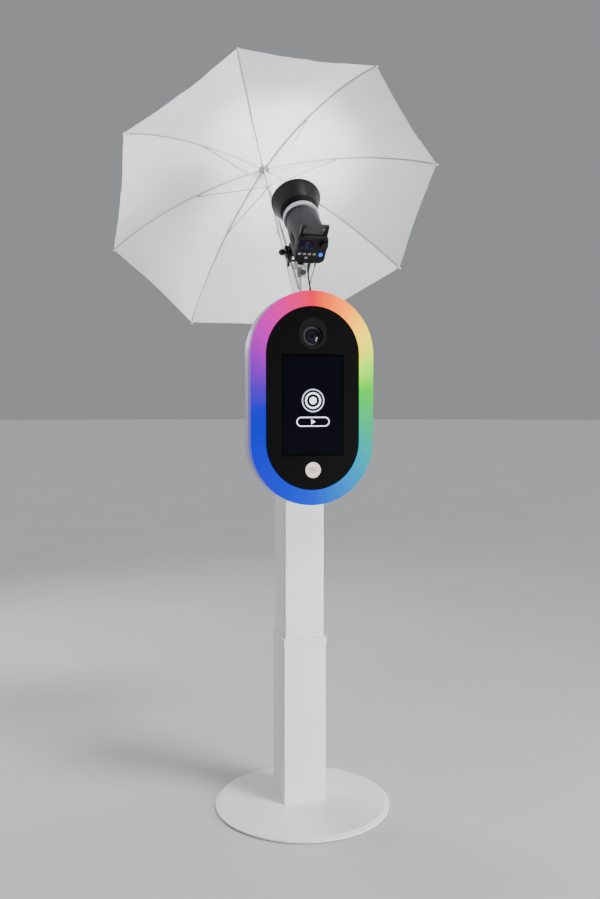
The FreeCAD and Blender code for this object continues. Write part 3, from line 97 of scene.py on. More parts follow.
MAINS_ROUTE = [
    (0.0480, 0.08635, 1.94629),
    (0.0480, 0.09835, 1.93429),
    (0.0495, 0.1020, 1.9080),
    (0.0515, 0.0920, 1.8780),
    (0.0520, 0.0760, 1.8520),
    (0.0500, 0.0650, 1.8230),
    (0.0475, 0.0605, 1.7900),
    (0.0470, 0.0570, 1.7520),
    (0.0450, 0.0555, 1.7160),
]
SYNC_ROUTE = [
    (0.0620, 0.05439, 1.94544),
    (0.0620, 0.06317, 1.93657),
    (0.0590, 0.0660, 1.9180),
    (0.0490, 0.0560, 1.8990),
    (0.0385, 0.0430, 1.8720),
    (0.0380, 0.0450, 1.8480),
    (0.0395, 0.0495, 1.8230),
    (0.0405, 0.0510, 1.7940),
    (0.0395, 0.0525, 1.7620),
    (0.0400, 0.0530, 1.7280),
]
WRAP_Z = 1.818                 # height of the strap that gathers both leads

# The reflector's wall along the flash: a throat, a short flare, then a long bell.
THROAT_RADIUS = 0.0489
FLARE_START = 0.214
FLARE_LENGTH = 0.024
FLARE_SLOPE = 0.829
BELL_SLOPE = 0.3227
DISPLAY_PLACE = (-0.021, -0.023, 0.0)

# Colours round the ring, clockwise from the top, one every 20 degrees.
RING_COLOURS = [
    (0.570, 0.000, 0.018), (0.960, 0.200, 0.000), (0.920, 0.640, 0.000), (0.260, 0.740, 0.000),
    (0.006, 0.440, 0.004), (0.000, 0.340, 0.060), (0.000, 0.260, 0.130), (0.000, 0.190, 0.260),
    (0.000, 0.110, 0.360), (0.000, 0.030, 0.390), (0.000, 0.008, 0.370), (0.000, 0.002, 0.350),
    (0.000, 0.000, 0.330), (0.004, 0.000, 0.320), (0.040, 0.000, 0.300), (0.125, 0.000, 0.280),
    (0.270, 0.000, 0.250), (0.400, 0.000, 0.170),
]


# ---------------------------------------------------------------- what a user would change
def length_setting(name, description, default, low, high):
    """Setting for a length in metres."""
    return FloatProperty(
        name=name, description=description, default=default, min=low, max=high, unit="LENGTH",
    )


def colour_setting(name, description, default):
    """Setting for a colour."""
    return FloatVectorProperty(
        name=name, description=description, subtype="COLOR", default=default, min=0.0, max=1.0,
    )


class BoothSizes(bpy.types.PropertyGroup):
    """Sizes of the pieces made here."""

    cloth_thick: length_setting("Cloth", "Thickness of the canopy's cloth", 0.0006, 0.0002, 0.001)
    cloth_sag: length_setting("Sag", "How far a panel is drawn in between two ribs", 0.009, 0.0, 0.02)
    hem_curve: length_setting("Hem curve", "How far the hem curves in between two tips", 0.004, 0.0, 0.04)
    fold_keep: FloatProperty(
        name="Folded width", description="Share of its width a panel keeps as the umbrella folds",
        default=0.86, min=0.5, max=1.0,
    )
    mains_diameter: length_setting("Mains lead", "Diameter of the flash's mains lead", 0.0064, 0.004, 0.01)
    sync_diameter: length_setting("Sync lead", "Diameter of the thin sync lead", 0.003, 0.001, 0.005)
    grip_ridges: IntProperty(
        name="Grip ridges", description="Ridges round the focus ring", default=72, min=24, max=120,
    )


class BoothColours(bpy.types.PropertyGroup):
    """Colours of the main finishes."""

    coat: colour_setting("Coat", "Powder coat of the stand", (0.80, 0.79, 0.785))
    # The shell is white: this default is darkened to mid grey and tinted violet, painted shade and painted
    # glow from the light ring.
    shell: colour_setting("Shell", "Rear shell of the head", (0.46, 0.42, 0.52))
    housing: colour_setting("Flash", "Flash housing", (0.006, 0.0085, 0.013))
    cloth: colour_setting("Canopy", "Umbrella cloth", (0.90, 0.90, 0.92))
    glow: FloatProperty(
        name="Glow", description="Strength of the light ring", default=3.0, min=0.0, max=10.0,
    )


# ---------------------------------------------------------------- shader maths
class Value:
    """A shader value whose Python operators add Math nodes."""

    def __init__(self, graph, socket):
        self.graph = graph
        self.socket = socket

    def maths(self, operation, *others):
        return self.graph.add("ShaderNodeMath", {"operation": operation}, [self, *others])

    def __rsub__(self, other):
        return self.graph.add("ShaderNodeMath", {"operation": "SUBTRACT"}, [other, self])

    __add__ = __radd__ = partialmethod(maths, "ADD")
    __mul__ = __rmul__ = partialmethod(maths, "MULTIPLY")
    __sub__ = partialmethod(maths, "SUBTRACT")
    __truediv__ = partialmethod(maths, "DIVIDE")
    __gt__ = partialmethod(maths, "GREATER_THAN")
    __abs__ = partialmethod(maths, "ABSOLUTE")
    sin = partialmethod(maths, "SINE")
    root = partialmethod(maths, "SQRT")
    smallest = partialmethod(maths, "MINIMUM")
    largest = partialmethod(maths, "MAXIMUM")
    wrapped = partialmethod(maths, "FLOORED_MODULO")

    def step(self, low, high):
        """Smooth rise from 0 at low to 1 at high."""
        settings = {"interpolation_type": "SMOOTHSTEP"}
        return self.graph.add("ShaderNodeMapRange", settings, {"Value": self, 1: low, 2: high})


class Finish:
    """A material under construction: one Principled shader and the nodes that feed it."""

    def __init__(self, name):
        self.material = bpy.data.materials.new(name)
        self.material.use_nodes = True
        self.nodes = self.material.node_tree.nodes
        self.links = self.material.node_tree.links
        self.shader = self.nodes["Principled BSDF"]

    def plug(self, socket, value):
        if isinstance(value, Value):
            self.links.new(value.socket, socket)
        elif hasattr(value, "__len__") and socket.type == "RGBA" and len(value) == 3:
            socket.default_value = (*value, 1.0)
        else:
            socket.default_value = value

    def add(self, kind, settings=None, inputs=None, output=0):
        """Any node: its type, its settings, then the values or links of its sockets."""
        node = self.nodes.new(kind)
        for name, value in (settings or {}).items():
            if name == "stops":
                self.set_stops(node.color_ramp, value)
            else:
                setattr(node, name, value)
        inputs = inputs or {}
        pairs = inputs.items() if isinstance(inputs, dict) else enumerate(inputs)
        for key, value in pairs:
            self.plug(node.inputs[key], value)
        return Value(self, node.outputs[output])

    @staticmethod
    def set_stops(ramp, stops):
        while len(ramp.elements) > 1:
            ramp.elements.remove(ramp.elements[-1])
        ramp.elements[0].position = stops[0][0]
        ramp.elements[0].color = (*stops[0][1], 1.0)
        for place, colour in stops[1:]:
            ramp.elements.new(place).color = (*colour, 1.0)

    def place(self):
        """Object coordinates."""
        return self.add("ShaderNodeTexCoord", output="Object")

    def split(self, vector):
        """The three numbers of a vector."""
        node = self.nodes.new("ShaderNodeSeparateXYZ")
        self.plug(node.inputs[0], vector)
        return [Value(self, socket) for socket in node.outputs]

    def surface_map(self):
        """The piece's own UV map, in metres."""
        node = self.nodes.new("ShaderNodeUVMap")
        node.uv_map = "Metres"
        return Value(self, node.outputs[0])

    def noise(self, vector, scale, detail=3.0, roughness=0.55):
        return self.add(
            "ShaderNodeTexNoise", None,
            {"Vector": vector, "Scale": scale, "Detail": detail, "Roughness": roughness},
        )

    def stretched(self, vector, scale):
        """Coordinates drawn out by a scale on each axis."""
        return self.add("ShaderNodeMapping", None, {"Vector": vector, "Scale": scale})

    def mix(self, share, first, second):
        """Blend of two colours."""
        return self.add(
            "ShaderNodeMix", {"data_type": "RGBA"}, {0: share, 6: first, 7: second}, output=2,
        )

    def finish(self, colour, roughness, height=None, depth=0.0, **others):
        """Feed the shader. Height is in units of depth, and the others go to sockets by name."""
        self.plug(self.shader.inputs["Base Color"], colour)
        self.plug(self.shader.inputs["Roughness"], roughness)
        if height is not None:
            bump = self.add(
                "ShaderNodeBump", None, {"Height": height, "Distance": depth, "Strength": 1.0},
            )
            self.plug(self.shader.inputs["Normal"], bump)
        for name, value in others.items():
            self.plug(self.shader.inputs[name.replace("_", " ")], value)
        return self.material


def start(name):
    """A new finish and its Object coordinates."""
    f = Finish(name)
    return f, f.place()


def shade(colour, share):
    """A colour made lighter or darker by a factor."""
    return tuple(min(1.0, c * share) for c in colour)


# ---------------------------------------------------------------- finishes
def powder_coat(name, colour, rough, grain=520.0, depth=0.00012, shine=0.5):
    """Baked powder coat: orange-peel skin, slow drift of tone, faint handling haze."""
    f, where = start(name)
    drift = f.noise(where, 2.6, 4.0)
    haze = f.noise(where, 14.0, 5.0, 0.65)
    peel = f.noise(where, grain, 2.0, 0.5)
    speck = f.noise(where, grain * 3.0, 1.0)
    tone = (drift - 0.5) * 0.5 + (haze - 0.5) * 0.3 + 0.5
    body = f.mix(tone, shade(colour, 0.94), shade(colour, 1.05))
    worn = (haze - 0.5) * 0.16 + rough
    return f.finish(body, worn, peel * 0.8 + speck * 0.2, depth, Specular_IOR_Level=shine)


def moulded(name, colour, rough, grain=900.0, depth=0.00008, shine=0.5):
    """Moulded plastic with a spark-eroded texture and rubbed high spots."""
    f, where = start(name)
    grit = f.noise(where, grain, 3.0, 0.7)
    rub = f.noise(where, 22.0, 4.0)
    flow = f.noise(f.stretched(where, (1.0, 1.0, 0.25)), 7.0, 2.0)
    body = f.mix(rub * 0.6 + flow * 0.4, shade(colour, 0.85), shade(colour, 1.25))
    return f.finish(body, (rub - 0.5) * 0.2 + rough, grit, depth, Specular_IOR_Level=shine)


def gloss_moulding(name, colour):
    """Polished plastic with a hard lacquer and hairline wipe marks."""
    f, where = start(name)
    wipe = f.noise(f.stretched(where, (1.0, 1.0, 9.0)), 60.0, 3.0)
    dust = f.noise(where, 160.0, 3.0)
    body = f.mix(dust, colour, shade(colour, 1.6))
    return f.finish(body, wipe * 0.10 + 0.06, wipe, 0.00001, Coat_Weight=0.1, Specular_IOR_Level=0.2)


def drawn_metal(name, colour, axis, rough=0.28):
    """Drawn or brushed metal: fine lines along an axis, with a little tarnish."""
    f, where = start(name)
    fine = tuple(6.0 if axis == i else 900.0 for i in range(3))
    lines = f.noise(f.stretched(where, fine), 1.0, 3.0)
    tarnish = f.noise(where, 35.0, 4.0)
    body = f.mix(tarnish, shade(colour, 0.82), shade(colour, 1.1))
    return f.finish(body, lines * 0.14 + (tarnish - 0.5) * 0.12 + rough, lines, 0.00002, Metallic=1.0)


def cast_metal(name, colour, rough=0.42):
    """Cast or anodised metal: soft pitting and an uneven sheen."""
    f, where = start(name)
    pits = f.noise(where, 420.0, 4.0, 0.6)
    bloom = f.noise(where, 18.0, 3.0)
    body = f.mix(bloom, shade(colour, 0.86), shade(colour, 1.1))
    return f.finish(body, (bloom - 0.5) * 0.16 + rough, pits, 0.00006, Metallic=0.85)


def rubber(name, colour):
    """Soft matt rubber with a powdery surface."""
    f, where = start(name)
    powder = f.noise(where, 60.0, 5.0, 0.7)
    grain = f.noise(where, 1100.0, 2.0)
    return f.finish(f.mix(powder, colour, shade(colour, 2.2)), powder * 0.15 + 0.7, grain, 0.00006)


def lead_jacket(name, colour):
    """Satin jacket of a lead: the twist of its cores shows faintly through."""
    f = Finish(name)
    across, length, _ = f.split(f.surface_map())
    twist = (length * 260.0 + across * 300.0).sin() * 0.5 + 0.5
    scuff = f.noise(f.surface_map(), 90.0, 4.0)
    body = f.mix(scuff, colour, shade(colour, 2.4))
    return f.finish(body, scuff * 0.2 + 0.36, twist, 0.00012)


def hook_strap(name, colour):
    """Woven strap of hook-and-loop tape, fuzzy on its loop side."""
    f, where = start(name)
    fuzz = f.noise(where, 1500.0, 4.0, 0.8)
    rows = (f.split(where)[2] * 5200.0).sin() * 0.5 + 0.5
    body = f.mix(fuzz, colour, shade(colour, 3.0))
    return f.finish(body, fuzz * 0.1 + 0.85, fuzz * 0.7 + rows * 0.3, 0.0003)


def folded_case(name, colour):
    """Plated steel case with spangle and finger marks."""
    f, where = start(name)
    spangle = f.add("ShaderNodeTexVoronoi", None, {"Vector": where, "Scale": 160.0})
    smear = f.noise(where, 20.0, 4.0)
    body = f.mix(spangle, shade(colour, 0.8), shade(colour, 1.15))
    return f.finish(body, smear * 0.3 + 0.25, spangle, 0.00002, Metallic=0.9)


def ring_light(name, strength):
    """Opal channel lit from behind: the hue turns with the angle round the head, the front face is
    brightest, the side fades towards the back, and each lamp behind leaves a faint swell.
    """
    f, where = start(name)
    x, y, z = f.split(where)
    up = z - HEAD_Z
    turn = f.add("ShaderNodeMath", {"operation": "ARCTAN2"}, [x, up]) / math.tau
    count = len(RING_COLOURS)
    stops = [(i / count, c) for i, c in enumerate(RING_COLOURS)]
    stops.append((1.0, RING_COLOURS[0]))
    hue = f.add("ShaderNodeValToRGB", {"stops": stops}, [turn.wrapped(1.0)])
    depth = (y - HEAD_FRONT) / RING_DEPTH
    side = depth.step(0.04, 0.16)
    fade = 1.0 - side * 0.25 - side * depth * 0.25
    lamp = (turn * math.tau * RING_LAMPS).sin() * 0.02 + 0.98
    veil = f.mix(side * 0.35, hue, (0.20, 0.17, 0.33))
    lit = f.mix(fade * lamp, (0.0, 0.0, 0.0), veil)
    skin = f.noise(where, 700.0, 2.0)
    rough = f.noise(where, 30.0, 3.0) * 0.12 + 0.46
    base = f.mix(side, (0.001, 0.001, 0.001), (0.020, 0.018, 0.030))
    return f.finish(
        base, rough, skin, 0.00003,
        Emission_Color=lit, Emission_Strength=strength, Specular_IOR_Level=0.03,
    )


def radius_of(x, z):
    """Distance from the middle."""
    return (x * x + z * z).root()


def bar(x, z, centre_z, half_width, half_height, corner, soft=0.0006):
    """Mask of a rounded bar: 1 inside, from the rounded-box distance."""
    over_x = (abs(x) - (half_width - corner)).largest(0.0)
    over_z = (abs(z - centre_z) - (half_height - corner)).largest(0.0)
    return 1.0 - (radius_of(over_x, over_z) - corner).step(-soft, soft)


def flash_axes(f, where):
    """How far a place lies across, down and along the flash."""
    x, y, z = f.split(where)
    back = y - float(FLASH_ORIGIN[1])
    up = z - float(FLASH_ORIGIN[2])
    return x - float(FLASH_ORIGIN[0]), (back - up) * HALF, (back + up) * HALF


def touch_screen(name):
    """Cover glass over a lit display: a plain touch mark over a start button with a triangle."""
    f, where = start(name)
    x, _, z = f.split(where)
    up = z - SCREEN_Z
    mark_z = 0.016
    button_z = -0.056
    lit_area = bar(x, up, 0.0, 0.104, 0.166, 0.002)
    radius = radius_of(x, up - mark_z)
    dot = 1.0 - radius.step(0.0122, 0.0134)
    ring = 1.0 - abs(radius - 0.0250).step(0.0026, 0.0036)
    outer = 1.0 - abs(radius - 0.0375).step(0.0016, 0.0026)
    button = bar(x, up, button_z, 0.0585, 0.0165, 0.0165)
    hollow = bar(x, up, button_z, 0.0550, 0.0130, 0.0130)
    rise = abs(up - button_z)
    slope = (0.0085 - x) * 0.60
    triangle = (slope - rise).step(-0.0004, 0.0004) * (x > -0.0065)
    mark = dot.largest(ring).largest(outer * 0.55)
    mark = mark.largest((button - hollow).largest(0.0)).largest(triangle)
    glow = f.mix(lit_area, (0.0, 0.0, 0.0), (0.0008, 0.0009, 0.0026))
    shown = f.mix(mark, glow, (2.2, 2.4, 2.8))
    smear = f.noise(f.stretched(where, (1.0, 1.0, 0.4)), 26.0, 5.0, 0.6)
    tint = f.mix(lit_area, (0.001, 0.001, 0.001), (0.0015, 0.0015, 0.003))
    return f.finish(
        tint, smear * 0.10 + 0.05, smear, 0.000004,
        Emission_Color=shown, Emission_Strength=1.0, Specular_IOR_Level=0.08,
    )


def coated_lens(name):
    """Front element: dark glass with painted reflections of its coating, as rings of violet and green."""
    f, where = start(name)
    x, _, z = f.split(where)
    up = z - LENS_Z
    radius = radius_of(x, up) / GLASS_RADIUS
    # Rings by radius: the violet and green ones are painted reflections of the coating.
    stops = [
        (0.0, (0.001, 0.001, 0.002)), (0.30, (0.004, 0.003, 0.009)), (0.36, (0.020, 0.012, 0.036)),
        (0.42, (0.003, 0.003, 0.007)), (0.62, (0.006, 0.013, 0.012)), (0.68, (0.002, 0.002, 0.004)),
        (0.90, (0.010, 0.010, 0.016)), (1.0, (0.001, 0.001, 0.001)),
    ]
    painted_reflection_rings = f.add("ShaderNodeValToRGB", {"stops": stops}, [radius])
    dust = f.noise(where, 240.0, 3.0)
    return f.finish(painted_reflection_rings, dust * 0.05 + 0.02, dust, 0.000002, Coat_Weight=0.15, Specular_IOR_Level=0.2)


def badge_print(name):
    """Pale disc with a printed rim line and three plain bars."""
    f, where = start(name)
    x, _, z = f.split(where)
    up = z - BADGE_Z
    marks = 1.0 - abs(radius_of(x, up) - 0.0235).step(0.0003, 0.0007)
    for level, half_width in ((0.0070, 0.0120), (0.0, 0.0160), (-0.0070, 0.0095)):
        marks = marks.largest(bar(x, up, level, half_width, 0.0016, 0.0008, 0.0003))
    paper = f.noise(where, 380.0, 4.0)
    ground = f.mix(paper, (0.80, 0.62, 0.55), (0.88, 0.72, 0.65))
    inked = f.mix(marks, ground, (0.26, 0.09, 0.08))
    return f.finish(inked, paper * 0.2 + 0.4, paper, 0.00003)


def dish_metal(name):
    """Reflector: black outside, hammered bright metal inside. The two are told apart by the distance
    from the flash's axis, against the middle of the wall at that distance along the axis.
    """
    f, where = start(name)
    across, down, along = flash_axes(f, where)
    flare = (along - FLARE_START).largest(0.0).smallest(FLARE_LENGTH) * FLARE_SLOPE
    bell = (along - (FLARE_START + FLARE_LENGTH)).largest(0.0) * BELL_SLOPE
    middle = flare + bell + THROAT_RADIUS
    inside = 1.0 - (radius_of(across, down) - middle).step(-0.0001, 0.0001)
    hammer = f.add("ShaderNodeTexVoronoi", None, {"Vector": where, "Scale": 170.0})
    grit = f.noise(where, 700.0, 3.0)
    black = f.mix(grit, (0.003, 0.003, 0.004), (0.008, 0.008, 0.009))
    body = f.mix(inside, black, (0.78, 0.78, 0.80))
    rough = 0.42 - inside * 0.20 + (grit - 0.5) * 0.1
    height = hammer * inside + grit * 0.2
    return f.finish(body, rough, height, 0.0002, Metallic=inside, Specular_IOR_Level=0.25)


def lit_key(name, colour, strength):
    """Translucent cap lit from below, its glow mottled by a faint cloud texture."""
    f, where = start(name)
    cloud = f.noise(where, 260.0, 3.0)
    lit = f.mix(cloud, shade(colour, 0.7), colour)
    return f.finish(
        shade(colour, 0.5), cloud * 0.15 + 0.2, cloud, 0.00003,
        Emission_Color=lit, Emission_Strength=strength,
    )


def lcd(name):
    """Small display of a flash: a numeral's bars over a level scale."""
    f, where = start(name)
    across, down, _ = flash_axes(f, where)
    across = across - DISPLAY_PLACE[0]
    down = down - DISPLAY_PLACE[1]
    scale = bar(across, down, 0.0145, 0.022, 0.0016, 0.0004)
    shown = (across * 2400.0).sin().step(0.2, 0.6) * scale
    for level in (-0.0090, 0.0, 0.0090):
        shown = shown.largest(bar(across, down, level, 0.0050, 0.0008, 0.0004, 0.0003))
    for side in (1.0, -1.0):
        upright = bar(across - 0.0052 * side, down, -0.0045 * side, 0.0008, 0.0042, 0.0004, 0.0003)
        shown = shown.largest(upright)
    grain = f.noise(where, 500.0, 2.0)
    back = f.mix(grain, (0.003, 0.003, 0.006), (0.005, 0.005, 0.010))
    lit = f.mix(shown, (0.002, 0.002, 0.006), (0.05, 0.07, 0.15))
    return f.finish(
        back, grain * 0.08 + 0.10, grain, 0.000005,
        Emission_Color=lit, Emission_Strength=1.0, Specular_IOR_Level=0.15,
    )


def canopy_cloth(name, colour):
    """Plain-woven nylon: threads both ways, tension creases from hub to hem in the bump and as painted
    shade in the colour, a felled seam with two stitch lines over each rib, and a turned hem.
    """
    f = Finish(name)
    spot = f.surface_map()
    across, length, _ = f.split(spot)
    threads = (across * 5200.0).sin() * 0.25 + (length * 5200.0).sin() * 0.25 + 0.5
    creases = f.noise(f.stretched(spot, (26.0, 5.0, 1.0)), 1.0, 4.0, 0.5)
    soft = f.noise(spot, 7.0, 3.0)
    seam = 1.0 - abs(across).step(0.0036, 0.0046)
    stitch_line = 1.0 - abs(abs(across) - 0.0028).step(0.0003, 0.0007)
    stitches = stitch_line * (length * 1900.0).sin().step(-0.3, 0.3)
    hem = length.step(0.6745, 0.6755)
    hem_line = 1.0 - abs(length - 0.6750).step(0.0004, 0.0009)
    doubled = seam.largest(hem)
    # Random tone plus painted shade: the crease pattern darkens and lightens the cloth's colour.
    tone = (soft - 0.5) * 0.35 + (creases - 0.5) * 0.35 + 0.5
    cloth_with_crease_shade = f.mix(tone, shade(colour, 0.94), shade(colour, 1.03))
    dense = f.mix(doubled * 0.5, cloth_with_crease_shade, shade(colour, 0.93))
    sewn = f.mix(stitches.largest(hem_line) * 0.5, dense, shade(colour, 0.66))
    height = creases * 3.0 + threads * 0.12 + doubled * 0.35 - stitches * 0.4
    rough = (soft - 0.5) * 0.1 + 0.62
    return f.finish(sewn, rough, height, 0.0006, Sheen_Weight=0.25, Sheen_Roughness=0.4)


def pale_floor(name):
    """Plain pale floor with a breath of mottling."""
    f, where = start(name)
    mottle = f.noise(where, 1.2, 5.0)
    grain = f.noise(where, 90.0, 3.0)
    body = f.mix(mottle, (0.46, 0.46, 0.465), (0.54, 0.54, 0.54))
    return f.finish(body, grain * 0.1 + 0.6, grain, 0.0002)


# ---------------------------------------------------------------- shapes
def round_angles(count):
    """Angles all the way round, evenly spaced."""
    return np.linspace(0.0, math.tau, count, endpoint=False)


def run_along(line):
    """Distance along a line of points, at each of them."""
    return np.concatenate([[0.0], np.cumsum(np.linalg.norm(np.diff(line, axis=0), axis=1))])


def corner_arcs(half_x, half_y, corner, count):
    """Centres of a rounded rectangle's corner arcs, and the way out from them, point by point."""
    quarter = np.linspace(0.0, math.pi / 2.0, count)
    angle = np.concatenate([quarter + math.pi / 2.0 * k for k in range(4)])
    signs = np.repeat(np.array([(1, 1), (-1, 1), (-1, -1), (1, -1)], float), count, axis=0)
    core = signs * np.array([half_x - corner, half_y - corner])
    return core, np.stack([np.cos(angle), np.sin(angle)], 1)


def new_piece(name, points, faces, uv=None):
    """Mesh piece from an array of points and a list of faces, smooth, with a Metres UV map where given."""
    mesh = bpy.data.meshes.new(name)
    mesh.from_pydata(points.reshape(-1, 3).tolist(), [], faces)
    if uv is not None:
        layer = mesh.uv_layers.new(name="Metres")
        corners = np.empty(len(mesh.loops), np.int32)
        mesh.loops.foreach_get("vertex_index", corners)
        layer.data.foreach_set("uv", uv.reshape(-1, 2)[corners].astype(np.float32).ravel())
    mesh.polygons.foreach_set("use_smooth", np.ones(len(mesh.polygons), bool))
    mesh.update()
    piece = bpy.data.objects.new(name, mesh)
    bpy.context.scene.collection.objects.link(piece)
    return piece


def outward(piece):
    """Merge doubles, then turn the faces of a closed shape outwards."""
    work = bmesh.new()
    work.from_mesh(piece.data)
    bmesh.ops.remove_doubles(work, verts=work.verts, dist=1e-7)
    bmesh.ops.recalc_face_normals(work, faces=work.faces)
    work.to_mesh(piece.data)
    work.free()
    piece.data.set_sharp_from_angle(angle=math.radians(35.0))
    return piece


def grid_faces(rows, columns, wrap_rows=False, wrap_columns=False):
    """Quads of a grid, closed on either way round where asked."""
    row = np.arange(rows if wrap_rows else rows - 1)
    column = np.arange(columns if wrap_columns else columns - 1)
    i, j = np.meshgrid(row, column, indexing="ij")
    after_i, after_j = (i + 1) % rows, (j + 1) % columns
    quads = np.stack(
        [i * columns + j, i * columns + after_j, after_i * columns + after_j, after_i * columns + j], -1,
    )
    return quads.reshape(-1, 4).tolist()


def skin(name, sections, ring=False, uv=None):
    """Closed sections carried along a path, capped at both ends unless the path is a ring."""
    rows, columns = sections.shape[:2]
    faces = grid_faces(rows, columns, ring, True)
    if not ring:
        faces.append(list(range(columns)))
        faces.append(list(range((rows - 1) * columns, rows * columns)))
    return outward(new_piece(name, sections, faces, uv))


def in_flash(local):
    """Points given across, down and along the flash, in the object's frame."""
    return local @ LEAN + FLASH_ORIGIN


def in_umbrella(local):
    """Points given across, down and along the umbrella, in the object's frame."""
    return local @ LEAN + HUB


def turned(name, profile, centre, axis, side, count=64, swell=None):
    """Closed profile of (radius, height) turned round an axis. Swell adds to the radius as a
    function of the angle: point = centre + axis * h + (r + swell(a)) * (side cos a + other sin a).
    """
    axis = np.array(axis, float)
    side = np.array(side, float)
    other = np.cross(axis, side)
    angle = round_angles(count)
    spokes = np.cos(angle)[:, None] * side + np.sin(angle)[:, None] * other
    profile = np.array(profile, float)
    radius = profile[None, :, 0] + (0.0 if swell is None else swell(angle, profile))
    points = centre + profile[None, :, 1, None] * axis + radius[..., None] * spokes[:, None, :]
    return skin(name, points, ring=True)


def pillow(half_x, half_y, corner, levels, round_count=8):
    """Sections of a rounded rectangle, each (inset, height): corner arcs moved in by the inset."""
    core, outwards = corner_arcs(half_x, half_y, corner, round_count)
    rows = []
    for inset, height in levels:
        reach = max(corner - inset, 1e-5)
        flat = core + reach * outwards
        rows.append(np.column_stack([flat, np.full(len(flat), height)]))
    return np.array(rows)


def smooth_line(route, name):
    """Points along the smooth spline whose control points are a route."""
    curve = bpy.data.curves.new(name, "CURVE")
    curve.dimensions = "3D"
    curve.resolution_u = 20
    spline = curve.splines.new("NURBS")
    spline.points.add(len(route) - 1)
    for point, place in zip(spline.points, route):
        point.co = (*place, 1.0)
    spline.order_u = 3
    spline.use_endpoint_u = True
    holder = bpy.data.objects.new(name, curve)
    bpy.context.scene.collection.objects.link(holder)
    bpy.context.view_layer.update()
    mesh = bpy.data.meshes.new_from_object(holder)
    line = np.empty(len(mesh.vertices) * 3)
    mesh.vertices.foreach_get("co", line)
    bpy.data.objects.remove(holder)
    bpy.data.curves.remove(curve)
    bpy.data.meshes.remove(mesh)
    return line.reshape(-1, 3)


def tube(name, line, radius, sides=20):
    """Round section carried along a line: at each point the circle lies across the line's heading,
    from the X axis made square to it. UV holds metres round and along.
    """
    heading = np.gradient(line, axis=0)
    heading /= np.linalg.norm(heading, axis=1)[:, None]
    second = np.cross(heading, np.array((1.0, 0.0, 0.0)))
    second /= np.linalg.norm(second, axis=1)[:, None]
    first = np.cross(second, heading)
    angle = round_angles(sides)
    radius = np.broadcast_to(radius, len(line))
    circle = np.cos(angle)[None, :, None] * first[:, None] + np.sin(angle)[None, :, None] * second[:, None]
    points = line[:, None] + radius[:, None, None] * circle
    uv = np.stack(np.broadcast_arrays(angle[None] * radius[:, None], run_along(line)[:, None]), -1)
    return skin(name, points, uv=uv)


def dress(piece, material):
    """Give a piece its finish."""
    piece.data.materials.clear()
    piece.data.materials.append(material)
    return piece


def dress_nodes(material, *names):
    """Give carried-over nodes their finish."""
    for name in names:
        dress(NODES[name], material)


# ---------------------------------------------------------------- camera and stage
CAMERA_PLACE = (-0.8724, -3.1548, 1.4668)
CAMERA_AIM = (0.26351, 0.96303, -0.05606)
FOCAL_LENGTH = 36.965
SENSOR_WIDTH = 36.0
FLOOR_Z = -0.0006              # just under the base, so that the two don't share a surface


class PHOTOBOOTH_OT_stage(bpy.types.Operator):
    """Camera, pale floor and soft studio light"""

    bl_idname = "photobooth.stage"
    bl_label = "Stage"

    def execute(self, context):
        lens = bpy.data.cameras.new("camera")
        lens.lens = FOCAL_LENGTH
        lens.sensor_width = SENSOR_WIDTH
        lens.clip_end = 100.0
        camera = bpy.data.objects.new("camera", lens)
        context.scene.collection.objects.link(camera)
        camera.location = CAMERA_PLACE
        camera.rotation_euler = Vector(CAMERA_AIM).to_track_quat("-Z", "Y").to_euler()
        context.scene.camera = camera

        radius = np.array([1e-3, 1.0, 3.0, 8.0, 20.0, 60.0])
        angle = round_angles(96)
        points = np.zeros((len(radius), len(angle), 3))
        points[..., 0] = radius[:, None] * np.cos(angle)
        points[..., 1] = radius[:, None] * np.sin(angle)
        points[..., 2] = FLOOR_Z
        floor = new_piece("floor", points, grid_faces(len(radius), len(angle), False, True))
        dress(floor, pale_floor("pale floor"))

        world = bpy.data.worlds.new("studio")
        world.use_nodes = True
        background = world.node_tree.nodes["Background"]
        background.inputs["Color"].default_value = (0.80, 0.82, 0.86, 1.0)
        background.inputs["Strength"].default_value = 0.36
        context.scene.world = world
        wash = self.lamp(context, "wash", "SUN", (1.9, -2.3, 4.6), (0.0, 0.0, 0.0), 2.1)
        wash.angle = math.radians(16.0)
        key = self.lamp(context, "key", "AREA", (2.5, -2.6, 0.9), (0.0, 0.3, 2.4), 230.0)
        key.size = 1.8
        rim = self.lamp(context, "rim", "AREA", (-1.6, 3.4, 3.0), (0.0, 0.2, 1.6), 110.0)
        rim.size = 2.2
        return {"FINISHED"}

    @staticmethod
    def lamp(context, name, kind, place, aim, power):
        """Soft lamp turned to a point."""
        light = bpy.data.lights.new(name, kind)
        light.energy = power
        holder = bpy.data.objects.new(name, light)
        context.scene.collection.objects.link(holder)
        holder.location = place
        holder.rotation_euler = (Vector(aim) - Vector(place)).to_track_quat("-Z", "Y").to_euler()
        return light


